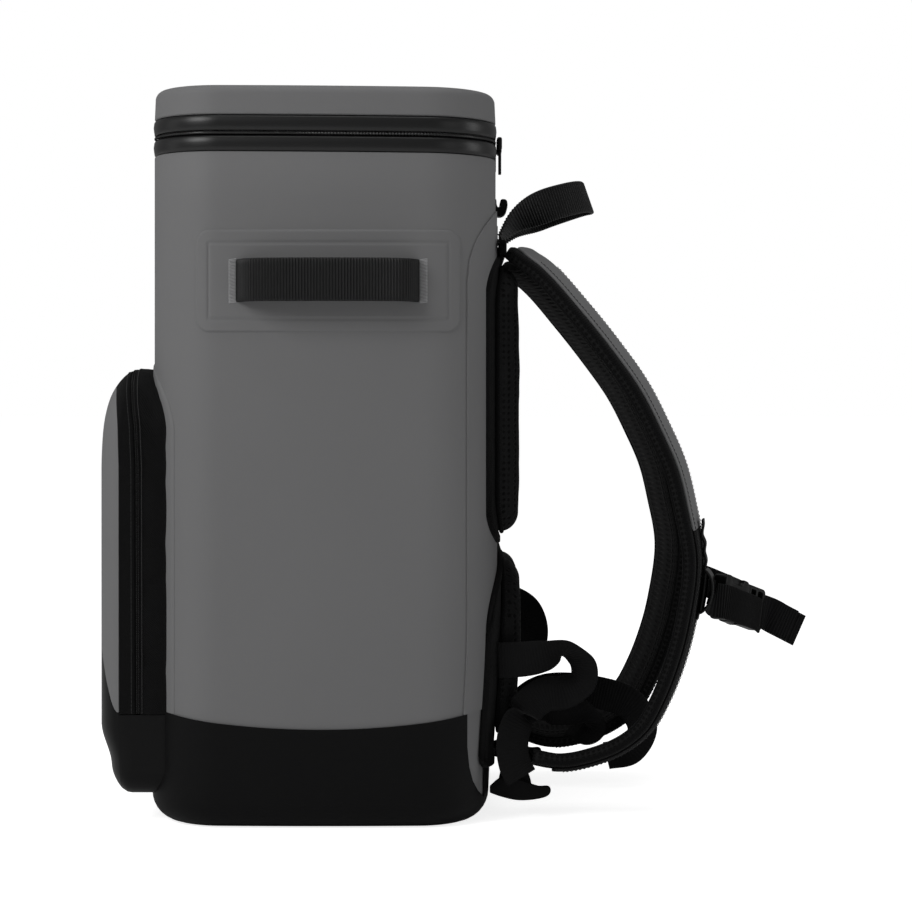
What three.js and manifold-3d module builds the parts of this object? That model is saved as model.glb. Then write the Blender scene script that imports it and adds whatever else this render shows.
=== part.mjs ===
// An insulated soft cooler backpack, standing closed on its base.
// Millimetres, +Z up. The wearer's side is +Y, the pocket is on -Y, and +X is the
// wearer's right, which is called the near side. The origin is the middle of the underside.
import * as THREE from 'three';
import { mergeVertices } from 'three/addons/utils/BufferGeometryUtils.js';
import Module from 'manifold-3d';

const manifold = await Module();
manifold.setup();

// Clearance between pieces that touch
const GAP = 0.3;

// Body
const WIDTH = 300;
const DEPTH = 245;
const HEIGHT = 522;
const CORNER_R = 50;
const SIDE_BULGE = 5;
const WALL = 22;
const FLOOR = 26;
const BASE_R = 20;
const BACK_TAPER = 7;
const TAPER_HEIGHT = 150;

// Boot, the tough skin round the base
const BOOT_SKIN = 1.3;
const BOOT_HEIGHT = 70;
const BOOT_RISE = 12;
const TONGUE_WIDTH = 12;
const TONGUE_TIP = 18;
const TONGUE_EDGE = 8.5;

// Lid and the zipper band below it
const LID_THICKNESS = 22;
const LID_EDGE_R = 8;
const LID_FALL = 2;
const BAND_HEIGHT = 26;
const TAPE = 1.8;
const COIL = 2.4;
const COIL_RISE = 0.8;
const HINGE_WIDTH = 120;
const DOCK_LENGTH = 20;
const DOCK_HEIGHT = 12;
const DOCK_RISE = 3.6;
const SLIDER_LENGTH = 14;
const PULL_LENGTH = 26;

// Side handles and the patches that carry them
const PATCH_LENGTH = 186;
const PATCH_HEIGHT = 72;
const PATCH_R = 10;
const PATCH_THICKNESS = 1;
const PATCH_DROP = 139;
const PATCH_SHIFT = 4.9;
const HANDLE_SPAN = 126;
const HANDLE_WEBBING = 30;
const HANDLE_THICKNESS = 2.4;
const HANDLE_RISE = 20;

// Front pocket
const POCKET_WIDTH = 260;
const POCKET_BOTTOM = 20;
const POCKET_TOP = 321.5;
const POCKET_TOP_R = 45;
const POCKET_BOTTOM_R = 22;
const POCKET_DEPTH = 38.5;
const POCKET_LEAN = 8;
const POCKET_CLOTH = 2;
const POCKET_ZIP = 4.6;
const POCKET_ZIP_SETBACK = 30;
const POCKET_SEAM_SETBACK = 17.5;
const POCKET_SEAM_Z = 78;
const POCKET_ARCH = 75;

// Back panels and pads
const PANEL_WIDTH = 248;
const PANEL_CLOTH = 2;
const PANEL_CLEAR = 0.6;
const UPPER_PANEL_BOTTOM = 197;
const PANEL_DROP = 108;
const LOWER_PANEL_BOTTOM = 38;
const LOWER_PANEL_TOP = 190;
const UPPER_TOP_R = 30;
const UPPER_BOTTOM_R = 26;
const LOWER_TOP_R = 55;
const LOWER_BOTTOM_R = 10;
const UPPER_PAD_WIDTH = 224;
const LOWER_PAD_WIDTH = 210;
const PAD_THICKNESS = 13;
const PAD_MARGIN = 8;
const LOWER_PAD_LIFT = 24;
const CHANNEL_WIDTH = 34;
const CHANNEL_DEPTH = 7;

// Yoke, grab handle and hook at the top of the back
const YOKE_WIDTH = 216;
const YOKE_HEIGHT = 10;
const YOKE_DEPTH = 5;
const YOKE_PLATE_HEIGHT = 24;
const YOKE_PLATE = 2;
const GRAB_WEBBING = 25;
const GRAB_THICKNESS = 2.4;
const GRAB_WIDTH = 84;
const GRAB_REACH = 69;
const GRAB_LIFT = 33;
const HOOK_WIDTH = 18;
const HOOK_HEIGHT = 13;
const HOOK_REACH = 8;
const HOOK_THICKNESS = 2.2;
const HOOK_DROP = 83;

// Shoulder straps
const STRAP_SPACING = 170;
const STRAP_WIDTH = 72;
const STRAP_REACH = 150;
const STRAP_ROOF = 10;
const PAD_FOAM = 8.7;
const COVER = 2.6;
const COVER_WIDTH = 60;
const COVER_SHARE = 0.5;
const RAIL_WIDTH = 16;
const RAIL = 1.4;

// Webbing and its hardware
const WEBBING = 25;
const WEBBING_THICKNESS = 1.6;
const BAR = 3;
const LOCK_LENGTH = 22;
const LOCK_THICKNESS = 4.5;
const CHEST_SHARE = 0.595;
const CHEST_SLIDER = 30;
const CHEST_LEAD = 12;
const CHEST_SAG = 9;
const BUCKLE_LENGTH = 62;
const BUCKLE_WIDTH = 33;
const BUCKLE_THICKNESS = 11;
const TAIL_LENGTH = 30;
const ANCHOR_LENGTH = 44;
const ANCHOR_HEIGHT = 14;
const ANCHOR_Z = 19;
const ANCHOR_THICKNESS = 2.2;

// Fineness of the round shapes
const CORNER_STEPS = 6;
const SIDE_STEPS = 4;
const ROUND_STEPS = 4;

const HALF_DEPTH = DEPTH / 2;
const LID_Z = HEIGHT - LID_THICKNESS;
const BAND_Z = LID_Z - BAND_HEIGHT;
const COIL_Z = BAND_Z + BAND_HEIGHT / 2;
const BOOT_OUT = BOOT_SKIN + GAP;
const PATCH_Z = HEIGHT - PATCH_DROP;
const UPPER_PANEL_TOP = HEIGHT - PANEL_DROP;
const HOOK_Z = HEIGHT - HOOK_DROP;
const NEAR = 1;
const FAR = -1;

const group = new THREE.Group();
const point = (x, y, z) => new THREE.Vector3(x, y, z);
const smooth = (t) => THREE.MathUtils.smoothstep(t, 0, 1);

const finishes = {
  shell: { color: 0x6e6e6f, roughness: 0.55, metalness: 0 },
  boot: { color: 0x161617, roughness: 0.5, metalness: 0 },
  tape: { color: 0x121213, roughness: 0.25, metalness: 0 },
  twill: { color: 0x111112, roughness: 0.9, metalness: 0 },
  mesh: { color: 0x131314, roughness: 0.95, metalness: 0 },
  webbing: { color: 0x101011, roughness: 0.8, metalness: 0 },
  plastic: { color: 0x0c0c0d, roughness: 0.35, metalness: 0 },
};

function addNode(name, geometry, finish) {
  const material = new THREE.MeshStandardMaterial(finishes[finish]);
  const mesh = new THREE.Mesh(geometry, material);
  mesh.name = name;
  group.add(mesh);
}

// Faces turned outward, whichever way the rings were listed
function outward(positions, index) {
  let volume = 0;
  const at = (i) => point(positions[3 * i], positions[3 * i + 1], positions[3 * i + 2]);
  for (let i = 0; i < index.length; i += 3) {
    volume += at(index[i]).dot(at(index[i + 1]).cross(at(index[i + 2])));
  }
  if (volume < 0) index.reverse();
  const geometry = new THREE.BufferGeometry();
  geometry.setAttribute('position', new THREE.Float32BufferAttribute(positions, 3));
  geometry.setIndex(index);
  return geometry;
}

// Closed solid through rings of equal length, with both ends capped. Each face is split along its
// shorter diagonal, so that both sides of a twisted strip bend alike.
function loft(rings) {
  const count = rings[0].length;
  const index = [];
  for (let i = 0; i + 1 < rings.length; i++) {
    const [ring, next] = [rings[i], rings[i + 1]];
    for (let j = 0; j < count; j++) {
      const k = (j + 1) % count;
      const a = i * count + j;
      const b = i * count + k;
      if (ring[j].distanceTo(next[k]) <= ring[k].distanceTo(next[j])) {
        index.push(a, b, b + count, a, b + count, a + count);
      } else {
        index.push(a, b, a + count, b, b + count, a + count);
      }
    }
  }
  const last = (rings.length - 1) * count;
  for (let j = 1; j + 1 < count; j++) {
    index.push(0, j + 1, j);
    index.push(last, last + j, last + j + 1);
  }
  return outward(rings.flat().flatMap((p) => [p.x, p.y, p.z]), index);
}

function toSolid(geometry) {
  const bare = geometry.clone();
  bare.deleteAttribute('normal');
  bare.deleteAttribute('uv');
  const merged = mergeVertices(bare, 1e-4);
  return new manifold.Manifold(new manifold.Mesh({
    numProp: 3,
    vertProperties: new Float32Array(merged.attributes.position.array),
    triVerts: new Uint32Array(merged.index.array),
  }));
}

function toGeometry(solid) {
  const mesh = solid.getMesh();
  const geometry = new THREE.BufferGeometry();
  geometry.setAttribute('position', new THREE.Float32BufferAttribute(mesh.vertProperties, 3));
  geometry.setIndex(Array.from(mesh.triVerts));
  return geometry;
}

const box = (x0, x1, y0, y1, z0, z1) => new THREE.BoxGeometry(x1 - x0, y1 - y0, z1 - z0)
  .translate((x0 + x1) / 2, (y0 + y1) / 2, (z0 + z1) / 2);

// Prism along X of an outline in Y and Z
function prismAlongX(outline, x0, x1) {
  return loft([x0, x1].map((x) => outline.map(([y, z]) => point(x, y, z))));
}

// Extruded outline in Y and Z that need not be convex
function shapeAlongX(outline, x0, x1) {
  const shape = new THREE.Shape(outline.map(([y, z]) => new THREE.Vector2(y, z)));
  const geometry = new THREE.ExtrudeGeometry(shape, { depth: x1 - x0, bevelEnabled: false });
  geometry.rotateY(Math.PI / 2);
  geometry.rotateX(Math.PI / 2);
  return geometry.translate(x0, 0, 0);
}

// Body outline

const bulge = (y) => 1 + (SIDE_BULGE / (WIDTH / 2 - SIDE_BULGE)) * (1 - (y / HALF_DEPTH) ** 2);
const lidFall = (y) => LID_FALL * (y / DEPTH + 0.5);
const bootTop = (y) => BOOT_HEIGHT + BOOT_RISE * (y / HALF_DEPTH) ** 2;
const taper = (y, z) => (y > 0 ? BACK_TAPER * (y / HALF_DEPTH) * smooth(1 - z / TAPER_HEIGHT) : 0);

// Ring round the body at an inset from its outer face, at a height that may depend on Y
function planRing(inset, height) {
  const zAt = typeof height === 'function' ? height : () => height;
  const radius = CORNER_R - inset;
  const straightX = WIDTH / 2 - SIDE_BULGE - CORNER_R;
  const straightY = HALF_DEPTH - CORNER_R;
  const flat = [];
  for (let corner = 0; corner < 4; corner++) {
    const signX = corner === 0 || corner === 3 ? 1 : -1;
    const signY = corner < 2 ? 1 : -1;
    for (let i = 0; i <= CORNER_STEPS; i++) {
      const turn = (corner + i / CORNER_STEPS) * (Math.PI / 2);
      flat.push([
        signX * straightX + radius * Math.cos(turn),
        signY * straightY + radius * Math.sin(turn),
      ]);
    }
    for (let i = 1; i < SIDE_STEPS && corner % 2 === 1; i++) {
      const along = signY * straightY * (1 - (2 * i) / SIDE_STEPS);
      flat.push([signX * (straightX + radius), along]);
    }
  }
  return flat.map(([x, y]) => {
    const z = zAt(y);
    return point(x * bulge(y), y - taper(y, z), z);
  });
}

// Outer face of the body at a given place
function sideX(y) {
  const past = Math.max(0, Math.abs(y) - (HALF_DEPTH - CORNER_R));
  const flat = WIDTH / 2 - SIDE_BULGE - CORNER_R + Math.sqrt(CORNER_R ** 2 - past ** 2);
  return flat * bulge(y);
}

function endY(x) {
  let y = HALF_DEPTH;
  for (let i = 0; i < 4; i++) {
    const flat = Math.abs(x) / bulge(y);
    const past = Math.max(0, flat - (WIDTH / 2 - SIDE_BULGE - CORNER_R));
    y = HALF_DEPTH - CORNER_R + Math.sqrt(Math.max(0, CORNER_R ** 2 - past ** 2));
  }
  return y;
}

const frontY = (x) => -endY(x);
const backY = (x, z) => endY(x) - taper(endY(x), z);

// Rings of a cup from its floor up to its rim
function cupRings(inset, floor, fillet, heights) {
  const rings = [];
  for (let i = 0; i <= ROUND_STEPS; i++) {
    const turn = (i / ROUND_STEPS) * (Math.PI / 2);
    rings.push(planRing(inset + fillet * (1 - Math.sin(turn)), floor + fillet * (1 - Math.cos(turn))));
  }
  heights.forEach((height) => rings.push(planRing(inset, height)));
  return rings;
}

const taperLevels = [0.3, 0.45].map((share) => share * TAPER_HEIGHT);
const bodyLevels = [...taperLevels, 0.75 * TAPER_HEIGHT, TAPER_HEIGHT];

function makeBody() {
  const bandStep = (y) => BAND_Z - lidFall(y);
  const rim = (y) => COIL_Z - COIL / 2 - GAP - lidFall(y);
  const outer = cupRings(0, BOOT_OUT, BASE_R - BOOT_OUT, [...bodyLevels, bandStep]);
  const neck = [planRing(TAPE + GAP, bandStep), planRing(TAPE + GAP, rim)];
  const inner = cupRings(WALL, FLOOR, BASE_R / 2, [TAPER_HEIGHT, rim]).reverse();
  addNode('body_tub', loft([...outer, ...neck, ...inner]), 'shell');
}

// The boot is notched at both back corners, where a tongue of the shell runs down into it
function makeBoot() {
  const outer = cupRings(-BOOT_OUT, 0, BASE_R, [...taperLevels, bootTop]);
  const inner = cupRings(-GAP, BOOT_SKIN, BASE_R - BOOT_SKIN, [...taperLevels, bootTop]);
  const boot = toSolid(loft([...outer, ...inner.reverse()]));
  const right = HALF_DEPTH - TONGUE_EDGE;
  const left = right - TONGUE_WIDTH;
  const above = BOOT_HEIGHT + 2 * BOOT_RISE;
  const tongue = [
    [left, above],
    [left, 3.1 * TONGUE_TIP],
    [left + 0.12 * TONGUE_WIDTH, 2.3 * TONGUE_TIP],
    [left + 0.5 * TONGUE_WIDTH, 1.5 * TONGUE_TIP],
    [left + 0.85 * TONGUE_WIDTH, 1.08 * TONGUE_TIP],
    [right, TONGUE_TIP],
    [right, above],
  ];
  const inside = WIDTH / 2 - SIDE_BULGE - CORNER_R;
  const nearNotch = toSolid(shapeAlongX(tongue, inside, WIDTH));
  const farNotch = toSolid(shapeAlongX(tongue, -WIDTH, -inside));
  addNode('base_boot', toGeometry(boot.subtract(nearNotch).subtract(farNotch)), 'boot');
}

function makeLid() {
  const level = (z) => (y) => z - lidFall(y);
  const rings = [
    planRing(TAPE + GAP, level(COIL_Z + COIL / 2 + GAP)),
    planRing(TAPE + GAP, level(LID_Z)),
    planRing(0, level(LID_Z)),
    planRing(0.6, level(HEIGHT - LID_EDGE_R - LID_FALL / 2)),
  ];
  for (let i = 1; i <= ROUND_STEPS; i++) {
    const turn = (i / ROUND_STEPS) * (Math.PI / 2);
    const inset = 0.6 + LID_EDGE_R * (1 - Math.cos(turn));
    const drop = LID_EDGE_R * (1 - Math.sin(turn)) + LID_FALL / 2;
    rings.push(planRing(inset, level(HEIGHT - drop)));
  }
  rings.push(planRing(CORNER_R * 0.8, level(HEIGHT)));
  addNode('lid', loft(rings), 'shell');
}

// Zipper band

function bandRing(inner, outer, bottom, top, swell) {
  const level = (z) => (y) => z - lidFall(y);
  const middle = (bottom + top) / 2;
  const rings = [
    planRing(inner, level(bottom)),
    planRing(outer, level(bottom)),
    planRing(outer - swell, level(middle)),
    planRing(outer, level(top)),
    planRing(inner, level(top)),
  ];
  if (swell === 0) rings.splice(2, 1);
  const count = rings[0].length;
  const index = [];
  for (let i = 0; i < rings.length; i++) {
    const next = (i + 1) % rings.length;
    for (let j = 0; j < count; j++) {
      const k = (j + 1) % count;
      index.push(i * count + j, i * count + k, next * count + k);
      index.push(i * count + j, next * count + k, next * count + j);
    }
  }
  return outward(rings.flat().flatMap((p) => [p.x, p.y, p.z]), index);
}

function makeBand() {
  const half = HINGE_WIDTH / 2;
  const gapBehind = toSolid(box(-half, half, 0, DEPTH, BAND_Z - BAND_HEIGHT, HEIGHT));
  const open = (geometry) => toGeometry(toSolid(geometry).subtract(gapBehind));
  const coilBottom = COIL_Z - COIL / 2;
  const coilTop = COIL_Z + COIL / 2;
  addNode('zipper_tape_lower', open(bandRing(TAPE, 0, BAND_Z + GAP, coilBottom - GAP, 0)), 'tape');
  addNode('zipper_tape_upper', open(bandRing(TAPE, 0, coilTop + GAP, LID_Z - GAP, 0)), 'tape');
  addNode('zipper_coil', open(bandRing(TAPE, 0.2, coilBottom, coilTop, COIL_RISE + 0.2)), 'tape');
  const face = HALF_DEPTH;
  const fall = LID_FALL;
  addNode('lid_hinge', box(
    -half + GAP, half - GAP, face - TAPE, face, BAND_Z + GAP - fall + LID_FALL / 8, LID_Z - GAP - fall,
  ), 'boot');
}

// Block with chamfered long edges, flat against the back face
function backBlock(x0, x1, face, rise, z, height) {
  const chamfer = Math.min(rise, height) * 0.3;
  return prismAlongX([
    [face, z - height / 2],
    [face + rise - chamfer, z - height / 2],
    [face + rise, z - height / 2 + chamfer],
    [face + rise, z + height / 2 - chamfer],
    [face + rise - chamfer, z + height / 2],
    [face, z + height / 2],
  ], x0, x1);
}

function makeZipperEnds() {
  const face = HALF_DEPTH + COIL_RISE + GAP;
  const z = COIL_Z - LID_FALL;
  const start = HINGE_WIDTH / 2 + GAP;
  addNode('zipper_dock', backBlock(start, start + DOCK_LENGTH, face, DOCK_RISE, z, DOCK_HEIGHT), 'plastic');
  addNode('zipper_stop', backBlock(-start - DOCK_LENGTH / 2, -start, face, DOCK_RISE / 2, z, DOCK_HEIGHT),
    'plastic');
  const slider = start + DOCK_LENGTH + GAP;
  addNode('zipper_slider', backBlock(
    slider, slider + SLIDER_LENGTH, face, DOCK_RISE, z, DOCK_HEIGHT * 0.75,
  ), 'plastic');
  addNode('zipper_pull', backBlock(
    slider + SLIDER_LENGTH * 0.3, slider + SLIDER_LENGTH * 0.7, face + DOCK_RISE + GAP, DOCK_RISE * 0.6,
    z - PULL_LENGTH * 0.35, PULL_LENGTH,
  ), 'plastic');
}

// Thin sheets that follow a curved face

// Closed sheet over a grid of shares u and v, between an inner and an outer face
function sheet(columns, rows, inner, outer) {
  const positions = [];
  for (const face of [inner, outer]) {
    for (let i = 0; i <= columns; i++) {
      for (let j = 0; j <= rows; j++) {
        const p = face(i / columns, j / rows);
        positions.push(p.x, p.y, p.z);
      }
    }
  }
  const layer = (columns + 1) * (rows + 1);
  const at = (i, j) => i * (rows + 1) + j;
  const index = [];
  const quad = (a, b, c, d) => index.push(a, b, c, a, c, d);
  for (let i = 0; i < columns; i++) {
    for (let j = 0; j < rows; j++) {
      quad(at(i, j), at(i + 1, j), at(i + 1, j + 1), at(i, j + 1));
      quad(layer + at(i, j), layer + at(i, j + 1), layer + at(i + 1, j + 1), layer + at(i + 1, j));
    }
  }
  for (let i = 0; i < columns; i++) {
    quad(at(i, 0), layer + at(i, 0), layer + at(i + 1, 0), at(i + 1, 0));
    quad(at(i + 1, rows), layer + at(i + 1, rows), layer + at(i, rows), at(i, rows));
  }
  for (let j = 0; j < rows; j++) {
    quad(at(0, j + 1), layer + at(0, j + 1), layer + at(0, j), at(0, j));
    quad(at(columns, j), layer + at(columns, j), layer + at(columns, j + 1), at(columns, j + 1));
  }
  return outward(positions, index);
}

// Half the height that a rounded rectangle keeps at a distance from its middle
function roundedHalf(along, halfLength, halfHeight, radius) {
  const past = Math.max(0, Math.abs(along) - (halfLength - radius));
  return halfHeight - radius + Math.sqrt(Math.max(0, radius ** 2 - past ** 2));
}

// Shares that crowd toward both ends, where an outline is round
const crowded = (u) => 0.5 - 0.5 * Math.cos(Math.PI * u);

function makePatch(name, side) {
  const place = (u, v, lift) => {
    const y = (crowded(u) - 0.5) * PATCH_LENGTH;
    const half = roundedHalf(y, PATCH_LENGTH / 2, PATCH_HEIGHT / 2, PATCH_R);
    const shifted = y + PATCH_SHIFT;
    return point(side * (sideX(shifted) + GAP + lift), shifted, PATCH_Z + (v * 2 - 1) * half);
  };
  const inner = (u, v) => place(u, v, 0);
  const outer = (u, v) => place(u, v, PATCH_THICKNESS);
  addNode(name, sheet(18, 1, inner, outer), 'shell');
}

// Ribbons and pads along a curve

// Frames along a smooth curve: each station is a place and a width direction
function framesAlong(stations, steps, flipped = 1) {
  const centre = new THREE.CatmullRomCurve3(stations.map((s) => s.at), false, 'centripetal');
  const width = new THREE.CatmullRomCurve3(stations.map((s) => s.wide), false, 'catmullrom');
  const frames = [];
  for (let i = 0; i <= steps; i++) {
    const t = i / steps;
    const tangent = centre.getTangent(t);
    const across = width.getPoint(t);
    across.addScaledVector(tangent, -across.dot(tangent)).normalize();
    const normal = across.clone().cross(tangent).multiplyScalar(flipped);
    frames.push({ at: centre.getPoint(t), across, normal, t });
  }
  return frames;
}

// Solid whose section, in shares across and along the normal, is carried along the frames
function sweep(frames, section) {
  return loft(frames.map((frame) => section(frame.t).map(([across, lift]) => frame.at.clone()
    .addScaledVector(frame.across, across)
    .addScaledVector(frame.normal, lift))));
}

const bandSection = (width, thickness) => () => [
  [-width / 2, -thickness / 2],
  [width / 2, -thickness / 2],
  [width / 2, thickness / 2],
  [-width / 2, thickness / 2],
];

const ribbon = (stations, steps, width, thickness) =>
  sweep(framesAlong(stations, steps), bandSection(width, thickness));

function makeSideHandle(name, side) {
  const lift = HANDLE_THICKNESS / 2 + PATCH_THICKNESS + 2 * GAP;
  const route = [
    [-0.5, 0.005], [-0.475, 0.1], [-0.43, 0.62], [-0.3, 0.93], [0, 1],
    [0.3, 0.93], [0.43, 0.62], [0.475, 0.1], [0.5, 0.005],
  ];
  const stations = route.map(([along, rise]) => {
    const y = along * HANDLE_SPAN + PATCH_SHIFT;
    const x = side * (sideX(y) + lift + rise * HANDLE_RISE);
    return { at: point(x, y, PATCH_Z), wide: point(0, 0, 1) };
  });
  addNode(name, ribbon(stations, 16, HANDLE_WEBBING, HANDLE_THICKNESS), 'webbing');
}

// Pocket

// Outline of the pocket seen from the front, at an inset from its edge
function pocketOutline(inset) {
  const half = POCKET_WIDTH / 2;
  const corners = [
    { x: half - POCKET_TOP_R, z: POCKET_TOP - POCKET_TOP_R, radius: POCKET_TOP_R, from: 0 },
    { x: -half + POCKET_TOP_R, z: POCKET_TOP - POCKET_TOP_R, radius: POCKET_TOP_R, from: 1 },
    { x: -half + POCKET_BOTTOM_R, z: POCKET_BOTTOM + POCKET_BOTTOM_R, radius: POCKET_BOTTOM_R, from: 2 },
    { x: half - POCKET_BOTTOM_R, z: POCKET_BOTTOM + POCKET_BOTTOM_R, radius: POCKET_BOTTOM_R, from: 3 },
  ];
  const levels = [0.36, 0.62].map((share) => THREE.MathUtils.lerp(POCKET_BOTTOM, POCKET_TOP, share));
  const outline = [];
  corners.forEach(({ x, z, radius, from }, number) => {
    const kept = Math.max(radius - inset, 4);
    const shift = Math.max(0, inset - (radius - kept));
    for (let i = 0; i <= ROUND_STEPS; i++) {
      const turn = (from + i / ROUND_STEPS) * (Math.PI / 2);
      const px = x + kept * Math.cos(turn) - Math.sign(x) * shift;
      const pz = z + kept * Math.sin(turn) + (from < 2 ? -shift : shift);
      outline.push([px, pz]);
    }
    if (number === 1) [...levels].reverse().forEach((level) => outline.push([-half + inset, level]));
    if (number === 3) levels.forEach((level) => outline.push([half - inset, level]));
  });
  return outline;
}

const pocketFace = -HALF_DEPTH - POCKET_DEPTH;

// How far the pocket's front leans back near its top
function pocketLean(z) {
  const span = 0.24 * (POCKET_TOP - POCKET_BOTTOM);
  return POCKET_LEAN * Math.max(0, 1 - (POCKET_TOP - z) / span) ** 2;
}

// Rounding of the pocket's front: inset from the outline, and distance behind the front face
const pocketRounding = [
  { inset: 0, behind: 0.44 },
  { inset: 0.03, behind: 0.27 },
  { inset: 0.075, behind: 0.14 },
  { inset: 0.13, behind: 0.06 },
  { inset: 0.25, behind: 0.015 },
  { inset: 0.5, behind: 0 },
];

// Room that the body and the boot take up, with the clearance of what is sewn onto them
function bodyRoom() {
  const clear = -GAP;
  const body = cupRings(clear, BOOT_OUT, BASE_R - BOOT_OUT, [...bodyLevels, BAND_Z]);
  const bootClear = clear - BOOT_OUT;
  const boot = cupRings(bootClear, 0, BASE_R, [...taperLevels, (y) => bootTop(y) + GAP]);
  return toSolid(loft(body)).add(toSolid(loft(boot)));
}

// Hollow pocket, open toward the body, whose cloth lies between two depths below its outer face
function pocketShell(skin, cloth) {
  const rearY = frontY(POCKET_WIDTH / 2) + CORNER_R / 4;
  const rear = (inset) => pocketOutline(inset).map(([x, z]) => point(x, rearY, z));
  const fronts = (depth) => pocketRounding.map(({ inset, behind }) => {
    const pull = Math.min(inset * POCKET_WIDTH / 2, POCKET_WIDTH / 2 - POCKET_TOP_R);
    return pocketOutline(depth + pull).map(([x, z]) => {
      const lean = pocketLean(z) * (1 - behind * 0.6);
      return point(x, pocketFace + depth + behind * POCKET_DEPTH + lean, z);
    });
  });
  const outer = [rear(skin), ...fronts(skin)];
  const inner = [rear(skin + cloth), ...fronts(skin + cloth)];
  return toSolid(loft([...outer.reverse(), ...inner])).subtract(bodyRoom());
}

// Side line of a seam round the pocket: its Y at each height, further forward near the top
function seamLine(setback, forward) {
  const rise = POCKET_TOP - POCKET_SEAM_Z;
  const shares = [
    { height: 0, ahead: 0 }, { height: 0.72, ahead: 0.05 }, { height: 0.84, ahead: 0.2 },
    { height: 0.92, ahead: 0.55 }, { height: 1, ahead: 0.85 }, { height: 1.1, ahead: 1.1 },
  ];
  return shares.map(({ height, ahead }) => [
    pocketFace + setback - ahead * forward, POCKET_SEAM_Z + height * rise,
  ]);
}

// Solid between two seam lines, from side to side of the pocket and from a level upward
function between(behind, ahead, bottom) {
  const from = (line) => [[line[0][0], bottom], ...line.slice(1)];
  return toSolid(shapeAlongX([...from(behind), ...from(ahead).reverse()], -WIDTH, WIDTH));
}

// Space below the arched seam of the black lower part, seen from the front
function belowArch(extra) {
  const half = POCKET_WIDTH / 2;
  const steps = 20;
  const shape = [[half, 0], [-half, 0]];
  for (let i = 0; i <= steps; i++) {
    const x = half * Math.cos(Math.PI * (1 - i / steps));
    shape.push([x, POCKET_SEAM_Z + extra + POCKET_ARCH * (1 - Math.abs(x / half) ** 8)]);
  }
  const outline = new THREE.Shape(shape.map(([x, z]) => new THREE.Vector2(x, z)));
  const solid = new THREE.ExtrudeGeometry(outline, { depth: DEPTH, bevelEnabled: false });
  solid.rotateX(Math.PI / 2);
  return toSolid(solid);
}

function makePocket() {
  const shell = pocketShell(0, POCKET_CLOTH);
  const shift = (line, by) => line.map(([y, z]) => [y + by, z]);
  const zip = seamLine(POCKET_ZIP_SETBACK, POCKET_LEAN);
  const seam = seamLine(POCKET_SEAM_SETBACK, POCKET_LEAN * 0.7);
  const behind = seamLine(POCKET_DEPTH * 2, 0);
  const ahead = seamLine(-POCKET_DEPTH, 0);
  const low = POCKET_SEAM_Z + GAP;
  const zipHalf = POCKET_ZIP / 2;
  const rearBand = between(behind, shift(zip, zipHalf + GAP / 2), low);
  const zipBand = between(shift(zip, zipHalf - GAP / 2), shift(zip, GAP / 2 - zipHalf), low);
  const frontBand = between(shift(zip, -zipHalf - GAP / 2), shift(seam, GAP / 2), low);
  const faceBand = between(shift(seam, -GAP / 2), ahead, low);
  const wide = box(-WIDTH, WIDTH, -DEPTH, 0, -HEIGHT, POCKET_SEAM_Z);
  const wedge = between(shift(seam, -GAP / 2), ahead, 0).intersect(belowArch(0));
  addNode('pocket_gusset_rear', toGeometry(shell.intersect(rearBand)), 'twill');
  const teeth = pocketShell(POCKET_CLOTH * 0.3, POCKET_CLOTH * 0.6);
  addNode('pocket_zipper', toGeometry(teeth.intersect(zipBand)), 'tape');
  addNode('pocket_gusset_front', toGeometry(shell.intersect(frontBand)), 'twill');
  addNode('pocket_front', toGeometry(shell.intersect(faceBand).subtract(belowArch(GAP))), 'shell');
  addNode('pocket_lower', toGeometry(shell.intersect(toSolid(wide).add(wedge))), 'boot');
}

// Back panels and pads

// Place on the back at a share across and up an outline with rounded top and bottom corners
function backPlace(u, v, lift, { width, bottom, top, topR, bottomR }) {
  const x = (crowded(u) - 0.5) * width;
  const past = (radius) => radius - Math.sqrt(
    Math.max(0, radius ** 2 - Math.max(0, Math.abs(x) - (width / 2 - radius)) ** 2),
  );
  const z = THREE.MathUtils.lerp(bottom + past(bottomR), top - past(topR), v);
  return point(x, backY(x, z) + lift, z);
}

// A panel that reaches down over the boot is thicker above it, so that its outer face is even
function makePanel(name, outline, overBoot) {
  const rows = overBoot > 0 ? 6 : 4;
  const level = bootTop(HALF_DEPTH) + (outline.top - outline.bottom) / rows;
  const clear = (place) => PANEL_CLEAR + (place.z < level ? overBoot : 0);
  const inner = (u, v) => backPlace(u, v, clear(backPlace(u, v, 0, outline)), outline);
  const outer = (u, v) => backPlace(u, v, PANEL_CLEAR + overBoot + PANEL_CLOTH, outline);
  addNode(name, sheet(18, rows, inner, outer), 'twill');
}

// Cushion that is full in its middle, thin at its edge, with an air channel down its centre
function makeCushion(name, outline, seat) {
  const round = (t) => (1 - Math.abs(2 * t - 1) ** 5) ** 0.5;
  const rise = (u, v) => {
    const x = Math.abs(crowded(u) - 0.5) * outline.width;
    const channel = 1 - smooth((x - CHANNEL_WIDTH / 4) / (CHANNEL_WIDTH / 2));
    const full = PAD_THICKNESS - CHANNEL_DEPTH * channel;
    return 2 + (full - 2) * round(crowded(u)) * round(v);
  };
  const inner = (u, v) => backPlace(u, v, seat, outline);
  const outer = (u, v) => backPlace(u, v, seat + rise(u, v), outline);
  addNode(name, sheet(16, 6, inner, outer), 'mesh');
}

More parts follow.
